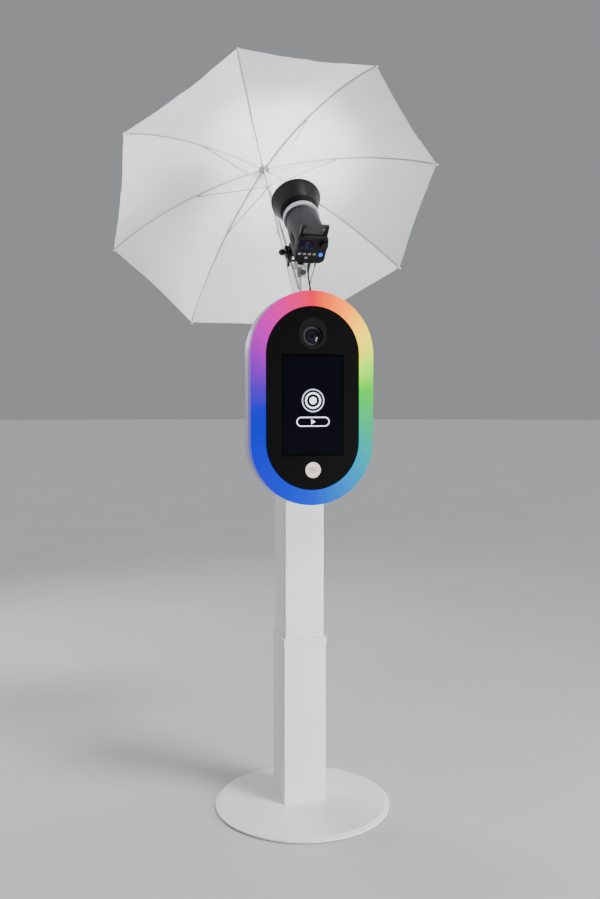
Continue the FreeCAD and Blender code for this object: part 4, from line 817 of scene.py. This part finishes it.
# ---------------------------------------------------------------- cords
class PHOTOBOOTH_OT_leads(bpy.types.Operator):
    """Mains lead and sync lead of the flash, with the strap that gathers them"""

    bl_idname = "photobooth.leads"
    bl_label = "Leads"

    def execute(self, context):
        sizes = context.scene.booth_sizes
        jacket = lead_jacket("lead jacket", (0.012, 0.012, 0.013))
        soft = rubber("moulded relief", (0.014, 0.014, 0.015))
        mains = smooth_line(MAINS_ROUTE, "mains_line")
        sync = smooth_line(SYNC_ROUTE, "sync_line")

        relief = self.relief("mains_relief", mains, 0.030, 0.0068, sizes.mains_diameter / 2.0 + 0.0007)
        boot = self.relief("sync_relief", sync, 0.016, 0.0032, sizes.sync_diameter / 2.0 + 0.0003)
        jack = self.jack()
        for piece in (relief, boot, jack):
            dress(piece, soft)
        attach(jack, "flash")

        plug = NODES["mains_plug"]
        self.lead("mains_lead", mains, sizes.mains_diameter, "mains_cord", jacket, [relief, plug])
        self.lead("sync_lead", sync, sizes.sync_diameter, "sync_cable", jacket, [boot, jack])
        for piece, line in ((relief, mains), (boot, sync)):
            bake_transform(piece)

        strap = self.strap(mains, sync)
        dress(strap, hook_strap("hook strap", (0.012, 0.012, 0.013)))
        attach(strap, "swivel")
        dress_nodes(soft, "mains_plug")
        return {"FINISHED"}

    @staticmethod
    def relief(name, line, length, wide, narrow):
        """Sleeve along a lead's first stretch: the radius falls evenly, with raised ribs on it."""
        run = run_along(line)
        along = np.linspace(0.0, length, 61)
        path = np.stack([np.interp(along, run, line[:, i]) for i in range(3)], 1)
        share = along / length
        ribs = 0.0004 * np.clip(np.sin(share * math.tau * 7.0) * 3.0, -1.0, 1.0) * (1.0 - share)
        return tube(name, path, wide + (narrow - wide) * share + ribs, 24)

    @staticmethod
    def jack():
        """Moulded sync plug: a round profile along the flash's underside, stepped like a grip."""
        out = np.array([0.0575, 0.0600, 0.0602, 0.0622, 0.0624, 0.0644, 0.0646, 0.0666, 0.0668, 0.0733])
        radius = np.array([0.0030, 0.0030, 0.0033, 0.0033, 0.0029, 0.0029, 0.0033, 0.0033, 0.0029, 0.0024])
        line = in_flash(np.stack([np.full(len(out), 0.032), out, np.full(len(out), 0.0218)], 1))
        return tube("sync_jack", line, radius, 24)

    @staticmethod
    def lead(name, line, diameter, node, jacket, pieces):
        """Both halves of a lead, parted inside the strap: the upper one runs down from the flash, the
        lower one between the swivel and the column.
        """
        cut = int(np.argmax(line[:, 2] < WRAP_Z))
        upper_line = line[:cut + 1]
        lower_line = line[cut:]
        upper = tube(name + "_upper", upper_line, diameter / 2.0)
        lower = tube(name + "_lower", lower_line, diameter / 2.0)
        for piece in (upper, lower):
            dress(piece, jacket)
            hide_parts(node)
        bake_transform(upper)
        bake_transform(lower)

    @staticmethod
    def strap(mains, sync):
        """Band round both leads: two half circles joined by straight sides, in a level plane."""
        centres = [line[int(np.argmax(line[:, 2] < WRAP_Z))][:2] for line in (mains, sync)]
        middle = (centres[0] + centres[1]) / 2.0
        apart = (centres[0] - centres[1]) / 2.0
        half = np.linalg.norm(apart)
        way = apart / half
        aside = np.array((-way[1], way[0]))
        radius = 0.0046
        angle = round_angles(72)
        push = np.tanh(np.cos(angle) * 6.0) * (half - 0.0006)
        levels = [(0.0, -0.0100), (0.0012, -0.0106), (0.0018, -0.0100), (0.0018, 0.0100),
                  (0.0012, 0.0106), (0.0, 0.0100)]
        rows = []
        for extra, height in levels:
            reach = radius + extra
            flat = (middle + (push + reach * np.cos(angle))[:, None] * way
                    + (reach * np.sin(angle))[:, None] * aside)
            rows.append(np.column_stack([flat, np.full(len(flat), WRAP_Z + height)]))
        return skin("lead_strap", np.array(rows).transpose(1, 0, 2), ring=True)


# ---------------------------------------------------------------- stand
class PHOTOBOOTH_OT_stand(bpy.types.Operator):
    """Finishes of the base, the column and the pole, with the grommet in the column's cap"""

    bl_idname = "photobooth.stand"
    bl_label = "Stand"

    def execute(self, context):
        colours = context.scene.booth_colours
        coat = powder_coat("stand coat", tuple(colours.coat), 0.42)
        dress_nodes(coat, "base_plate", "lower_column", "column_collar", "upper_column", "accessory_pole")
        dress_nodes(rubber("base rubber", (0.020, 0.020, 0.021)), "base_pad")
        dress_nodes(drawn_metal("screw steel", (0.56, 0.56, 0.57), 2), "stand_screws")
        knobs = moulded("knob plastic", (0.018, 0.018, 0.019), 0.45)
        dress_nodes(knobs, "column_lock_knob", "adaptor_knob", "tilt_handle", "umbrella_knob")
        dress_nodes(cast_metal("adaptor casting", (0.42, 0.43, 0.45)), "stand_adaptor")
        self.grommet()
        return {"FINISHED"}

    @staticmethod
    def grommet():
        """Rubber ring that lines the cable hole: a rounded lip above the cap and a neck inside."""
        profile = [
            (0.0136, -0.0060), (0.0158, -0.0060), (0.0158, 0.0002), (0.0182, 0.0004),
            (0.0186, 0.0016), (0.0178, 0.0028), (0.0158, 0.0034), (0.0142, 0.0028), (0.0136, 0.0014),
        ]
        centre = np.array((*CABLE_HOLE, CAP_TOP))
        ring = turned("cable_grommet", profile, centre, (0, 0, 1), (1, 0, 0))
        dress(ring, rubber("grommet rubber", (0.018, 0.018, 0.019)))
        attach(ring, "column")


# ---------------------------------------------------------------- head
class PHOTOBOOTH_OT_head(bpy.types.Operator):
    """Finishes of the head, its light ring, its screen and badge, and the shell's screws"""

    bl_idname = "photobooth.head"
    bl_label = "Head"

    def execute(self, context):
        colours = context.scene.booth_colours
        # The shell's colour carries painted shade and the ring's painted violet glow.
        dress_nodes(moulded("shell in painted shade and glow", tuple(colours.shell), 0.42, 600.0), "rear_shell")
        panel = powder_coat("panel coat", (0.0018, 0.0018, 0.0022), 0.55, 900.0, 0.00010, 0.04)
        dress_nodes(panel, "front_panel")
        dress_nodes(powder_coat("bracket coat", (0.016, 0.016, 0.017), 0.5), "head_bracket")
        dress_nodes(ring_light("ring light", colours.glow), "diffuser_ring")
        dress_nodes(touch_screen("touch screen"), "touch_glass")
        dress_nodes(gloss_moulding("display edge", (0.012, 0.013, 0.018)), "display_module")
        dress_nodes(badge_print("badge print"), "badge")
        dress_nodes(moulded("lamp tape", (0.75, 0.75, 0.72), 0.5), "led_strip")
        dress_nodes(folded_case("plated case", (0.55, 0.56, 0.57)), "computer", "power_supply")
        dress_nodes(moulded("service plastic", (0.016, 0.016, 0.017), 0.4), "power_inlet", "power_switch")
        self.screws()
        return {"FINISHED"}

    @staticmethod
    def screws():
        """Socket screws round the shell's back, on a pill-shaped line inside its edge."""
        steel = drawn_metal("shell screw steel", (0.30, 0.30, 0.31), 1)
        profile = [
            (0.0012, 0.0001), (0.0045, 0.0001), (0.0045, 0.0014), (0.0038, 0.0024),
            (0.0023, 0.0027), (0.0020, 0.0024), (0.0019, 0.0008), (0.0012, 0.0007),
        ]
        reach = HEAD_HALF_WIDTH - 0.018
        places = [
            (side * reach * math.cos(a), level * (HEAD_STRAIGHT + reach * math.sin(a)))
            for side in (-1, 1)
            for level in (-1, 1)
            for a in (0.0, math.radians(62.0))
        ]
        for number, (x, up) in enumerate(places):
            centre = np.array((x, HEAD_BACK, HEAD_Z + up))
            screw = turned(f"shell_screw_{number + 1}", profile, centre, (0, 1, 0), (1, 0, 0), 32)
            dress(screw, steel)
            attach(screw, "column")


class PHOTOBOOTH_OT_lens(bpy.types.Operator):
    """Finishes of the camera window and lens, the stepped baffle and the focus grip"""

    bl_idname = "photobooth.lens"
    bl_label = "Lens"

    def execute(self, context):
        ridges = context.scene.booth_sizes.grip_ridges
        dress_nodes(gloss_moulding("window gloss", (0.006, 0.006, 0.007)), "camera_window")
        dress_nodes(moulded("barrel black", (0.014, 0.014, 0.015), 0.32), "lens_barrel", "camera_body")
        dress_nodes(rubber("focus rubber", (0.016, 0.016, 0.017)), "focus_ring")
        dress_nodes(coated_lens("coated lens"), "lens_glass")
        centre = np.array((0.0, 0.0, LENS_Z))
        tread, rise = 0.0007, 0.0012
        steps = [
            (0.0293 - tread * (i + edge), -0.1247 + rise * i)
            for i in range(5)
            for edge in (0, 1)
        ]
        steps += [(0.0258, -0.1186), (0.0293, -0.1186)]
        baffle = turned("lens_baffle", steps, centre, (0, 1, 0), (1, 0, 0), 96)
        dress(baffle, moulded("baffle black", (0.020, 0.020, 0.022), 0.38))
        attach(baffle, "column")

        def swell(angle, profile):
            outer = profile[None, :, 0] > 0.0337
            return np.where(outer, 0.00022 * np.tanh(3.0 * np.sin(angle * ridges))[:, None], 0.0)

        band = [(0.0336, -0.1108), (0.0339, -0.1104), (0.0339, -0.0996), (0.0336, -0.0992)]
        grip = turned("focus_grip", band, centre, (0, 1, 0), (1, 0, 0), ridges * 6, swell)
        dress(grip, rubber("grip rubber", (0.015, 0.015, 0.016)))
        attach(grip, "focus")
        return {"FINISHED"}


# ---------------------------------------------------------------- flash
class PHOTOBOOTH_OT_flash(bpy.types.Operator):
    """Finishes of the flash, with its display, keys, louvres and handle sleeve"""

    bl_idname = "photobooth.flash"
    bl_label = "Flash"

    def execute(self, context):
        colours = context.scene.booth_colours
        housing = powder_coat("flash coat", tuple(colours.housing), 0.45, 800.0, shine=0.25)
        black = moulded("flash plastic", (0.004, 0.004, 0.0045), 0.42, shine=0.22)
        dress_nodes(housing, "flash_body")
        dress_nodes(black, "flash_panel", "power_dial", "flash_handle", "flash_bracket")
        dress_nodes(cast_metal("ring anodised", (0.50, 0.51, 0.53), 0.36), "lock_ring")
        dress_nodes(dish_metal("dish metal"), "reflector")
        dress_nodes(lit_key("lit blue key", (0.0, 0.16, 1.0), 1.15), "test_button")
        dress_nodes(lit_key("lamp glass", (1.0, 0.97, 0.94), 170.0), "flash_tube")
        self.display()
        self.keys(moulded("key plastic", (0.15, 0.15, 0.16), 0.5))
        self.louvres(housing)
        self.sleeve()
        return {"FINISHED"}

    @staticmethod
    def display():
        """Display window let into the rear panel's recess."""
        levels = [(0.0004, 0.0014), (0.0, 0.0012), (0.0, 0.0005), (0.0006, 0.0003)]
        rows = pillow(0.0282, 0.0192, 0.0012, levels)
        window = skin("flash_display", in_flash(rows + np.array(DISPLAY_PLACE)))
        dress(window, lcd("flash lcd"))
        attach(window, "flash")

    @staticmethod
    def keys(plastic):
        """Five soft keys on the rear panel: domed caps with round corners."""
        levels = [(0.0, 0.0006), (0.0, -0.0008), (0.0005, -0.0014), (0.0014, -0.0017)]
        places = [(-0.042, 0.016), (-0.024, 0.016), (-0.006, 0.016), (0.012, 0.016), (-0.015, 0.032)]
        for number, (across, down) in enumerate(places):
            rows = pillow(0.0058, 0.0042, 0.0020, levels)
            key = skin(f"flash_key_{number + 1}", in_flash(rows + np.array((across, down, 0.0))))
            dress(key, plastic)
            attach(key, "flash")

    @staticmethod
    def louvres(housing):
        """Raised cooling bars on both cheeks of the housing, seven a side."""
        levels = [(0.0, 0.0), (0.0, 0.0010), (0.0004, 0.0014), (0.0009, 0.0015)]
        pitch = 0.009
        widening = 0.0025 / 0.172      # how the housing grows along its length
        sunk = 0.0003
        for side in (-1, 1):
            for number in range(7):
                along = 0.034 + pitch * number
                face = 0.0570 + widening * (along - 0.014) - sunk
                rows = pillow(0.0160, 0.0016, 0.0015, levels)
                local = np.stack([side * (face + rows[..., 2]), rows[..., 0], along + rows[..., 1]], -1)
                tag = "left" if side < 0 else "right"
                piece = skin(f"louvre_{tag}_{number + 1}", in_flash(local))
                dress(piece, housing)
                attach(piece, "flash")

    @staticmethod
    def sleeve():
        """Ribbed rubber sleeve on the handle: a rounded rectangle carried along the bar."""
        half_length = 0.034
        stations = np.linspace(-half_length, half_length, 137)
        share = np.abs(stations) / half_length
        swell = 0.0009 + 0.0004 * np.tanh(3.0 * np.sin(stations * 1100.0)) - 0.0006 * (share > 0.985)
        corner = 0.0012
        core, outwards = corner_arcs(0.0050, 0.0070, corner, 6)
        flat = core[None] + (corner + swell)[:, None, None] * outwards[None]
        local = np.stack([
            np.broadcast_to(stations[:, None], flat.shape[:2]), flat[..., 0] - 0.084, flat[..., 1] + 0.023,
        ], -1)
        sleeve = skin("handle_sleeve", in_flash(local))
        dress(sleeve, rubber("sleeve rubber", (0.015, 0.015, 0.016)))
        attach(sleeve, "flash")


# ---------------------------------------------------------------- umbrella
def rib_arc(turn, angle, offset=0.0):
    """Points on a rib's arc at a turn round the shaft, moved out by an offset."""
    radius = ARC_RADIUS + offset
    out = ARC_CENTRE[0] + radius * np.cos(angle)
    along = ARC_CENTRE[1] + radius * np.sin(angle)
    return np.stack([out * math.cos(turn), out * math.sin(turn), along], -1)


def rib_line(turn, share):
    """Middle of the cloth over a rib, for shares from hub to hem."""
    return rib_arc(turn, ARC_START + (ARC_END - ARC_START) * share, CLOTH_OFFSET)


class PHOTOBOOTH_OT_canopy(bpy.types.Operator):
    """Umbrella canopy: one gore over each rib, meeting its neighbours half way between the ribs"""

    bl_idname = "photobooth.canopy"
    bl_label = "Canopy"

    def execute(self, context):
        sizes = context.scene.booth_sizes
        cloth = canopy_cloth("canopy cloth", tuple(context.scene.booth_colours.cloth))
        step = math.tau / RIB_COUNT
        for k in range(RIB_COUNT):
            turn = RIB_PHASE + step * k
            gore, area = self.gore(k, turn, step, sizes)
            solid = gore.modifiers.new("thickness", "SOLIDIFY")
            solid.thickness = sizes.cloth_thick
            solid.offset = 0.0
            even = gore.modifiers.new("even shading", "WEIGHTED_NORMAL")
            even.mode = "FACE_AREA"
            even.weight = 90
            dress(gore, cloth)
            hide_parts("umbrella_canopy")
            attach(gore, f"rib_{k + 1}")
            sideways = in_umbrella(np.array((-math.sin(turn), math.cos(turn), 0.0))) - HUB
            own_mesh(gore)
        return {"FINISHED"}

    @staticmethod
    def gore(k, turn, step, sizes):
        """Cloth over rib k. Across, from one half-way line to the other, each point lies on the
        straight line between neighbouring ribs, drawn in by the sag, which grows as a quarter sine
        from the rib. Along, it follows the arc, and the hem draws in by a squared sine. Ripples are
        sums of sines of the angle round the shaft, so that neighbours agree where they meet.
        """
        columns, rows = 65, 91
        across = np.linspace(-1.0, 1.0, columns)
        along = np.linspace(0.0, 1.0, rows)
        u, s = np.meshgrid(across, along, indexing="ij")
        length = (ARC_RADIUS + CLOTH_OFFSET) * (ARC_START - ARC_END)
        reach = np.sin(np.abs(u) * math.pi / 2.0)
        share = s * (1.0 - sizes.hem_curve / length * reach ** 2)
        own = rib_line(turn, share)
        before = rib_line(turn - step, share)
        after = rib_line(turn + step, share)
        other = np.where((u < 0.0)[..., None], before, after)
        part = (np.abs(u) / 2.0)[..., None]
        points = own * (1.0 - part) + other * part
        slope = ARC_START + (ARC_END - ARC_START) * share
        level = turn + u * step / 2.0
        outward_way = np.stack([
            np.cos(slope) * np.cos(level), np.cos(slope) * np.sin(level), np.sin(slope),
        ], -1)
        fullness = share ** 1.1 * (1.0 - 0.35 * share)
        sag = sizes.cloth_sag * reach * fullness / 0.65
        ripple = (
            0.0010 * np.sin(24.0 * level + 1.3) * share ** 3
            + 0.0007 * np.sin(56.0 * level + 0.4) * share ** 5
            + 0.0009 * np.sin(40.0 * level + 2.0) * np.exp(-share / 0.10) * (share * 8.0).clip(0, 1)
            + 0.0008 * np.sin(16.0 * level + 9.0 * share)
        ) * reach ** 2
        points = points - outward_way * (sag - ripple)[..., None]
        width = np.linalg.norm(after - own, axis=-1) / 2.0
        uv = np.stack([u * width, share * length], -1)
        gore = new_piece(f"canopy_gore_{k + 1}", in_umbrella(points), grid_faces(columns, rows), uv)
        return gore, sum(face.area for face in gore.data.polygons)


class PHOTOBOOTH_OT_umbrella(bpy.types.Operator):
    """Finishes of the shaft, runner, ribs and stretchers, with a sewn pocket over each rib tip"""

    bl_idname = "photobooth.umbrella"
    bl_label = "Umbrella frame"

    def execute(self, context):
        steel = cast_metal("rib steel", (0.52, 0.53, 0.55), 0.32)
        dress_nodes(steel, "umbrella_shaft")
        dress_nodes(moulded("runner plastic", (0.62, 0.62, 0.63), 0.4), "umbrella_runner")
        pocket = moulded("tip cap", (0.70, 0.70, 0.72), 0.5)
        for k in range(RIB_COUNT):
            dress_nodes(steel, f"umbrella_rib_{k + 1}", f"stretcher_{k + 1}")
            self.tip(k, pocket)
        return {"FINISHED"}

    @staticmethod
    def tip(k, finish):
        """Cap over a rib's end: a round profile carried along the last stretch of the rib."""
        turn = RIB_PHASE + math.tau / RIB_COUNT * k
        share = np.linspace(0.0, 1.0, 22)
        line = rib_arc(turn, np.linspace(math.radians(48.80), math.radians(47.72), len(share)))
        dome = 0.0041 * np.sqrt(np.clip(1.0 - ((share - 0.8) / 0.21) ** 2, 0, 1))
        radius = np.where(share > 0.8, dome, 0.0030 + 0.0009 * share ** 2)
        cap = tube(f"tip_cap_{k + 1}", in_umbrella(line), radius.clip(0.0006), 20)
        dress(cap, finish)
        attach(cap, f"rib_{k + 1}")


# ---------------------------------------------------------------- panel and registration
class PHOTOBOOTH_PT_sidebar(bpy.types.Panel):
    """Buttons and settings of the photo booth"""

    bl_idname = "PHOTOBOOTH_PT_sidebar"
    bl_label = "Photo booth"
    bl_space_type = "VIEW_3D"
    bl_region_type = "UI"
    bl_category = "Photo booth"

    def draw(self, context):
        layout = self.layout
        for group in (context.scene.booth_sizes, context.scene.booth_colours):
            box = layout.box()
            for name in group.__annotations__:
                box.prop(group, name)
        for operator in OPERATORS:
            layout.operator(operator.bl_idname)


OPERATORS = (
    PHOTOBOOTH_OT_stage,
    PHOTOBOOTH_OT_leads,
    PHOTOBOOTH_OT_stand,
    PHOTOBOOTH_OT_head,
    PHOTOBOOTH_OT_lens,
    PHOTOBOOTH_OT_flash,
    PHOTOBOOTH_OT_canopy,
    PHOTOBOOTH_OT_umbrella,
)
CLASSES = (BoothSizes, BoothColours, *OPERATORS, PHOTOBOOTH_PT_sidebar)


def register():
    for cls in CLASSES:
        bpy.utils.register_class(cls)
    bpy.types.Scene.booth_sizes = PointerProperty(type=BoothSizes)
    bpy.types.Scene.booth_colours = PointerProperty(type=BoothColours)


def unregister():
    del bpy.types.Scene.booth_colours
    del bpy.types.Scene.booth_sizes
    for cls in reversed(CLASSES):
        bpy.utils.unregister_class(cls)


def main():
    """Make every piece in order."""
    register()
    bpy.ops.photobooth.stage()
    bpy.ops.photobooth.leads()
    bpy.ops.photobooth.stand()
    bpy.ops.photobooth.head()
    bpy.ops.photobooth.lens()
    bpy.ops.photobooth.flash()
    bpy.ops.photobooth.canopy()
    bpy.ops.photobooth.umbrella()


if __name__ == "__main__":
    main()
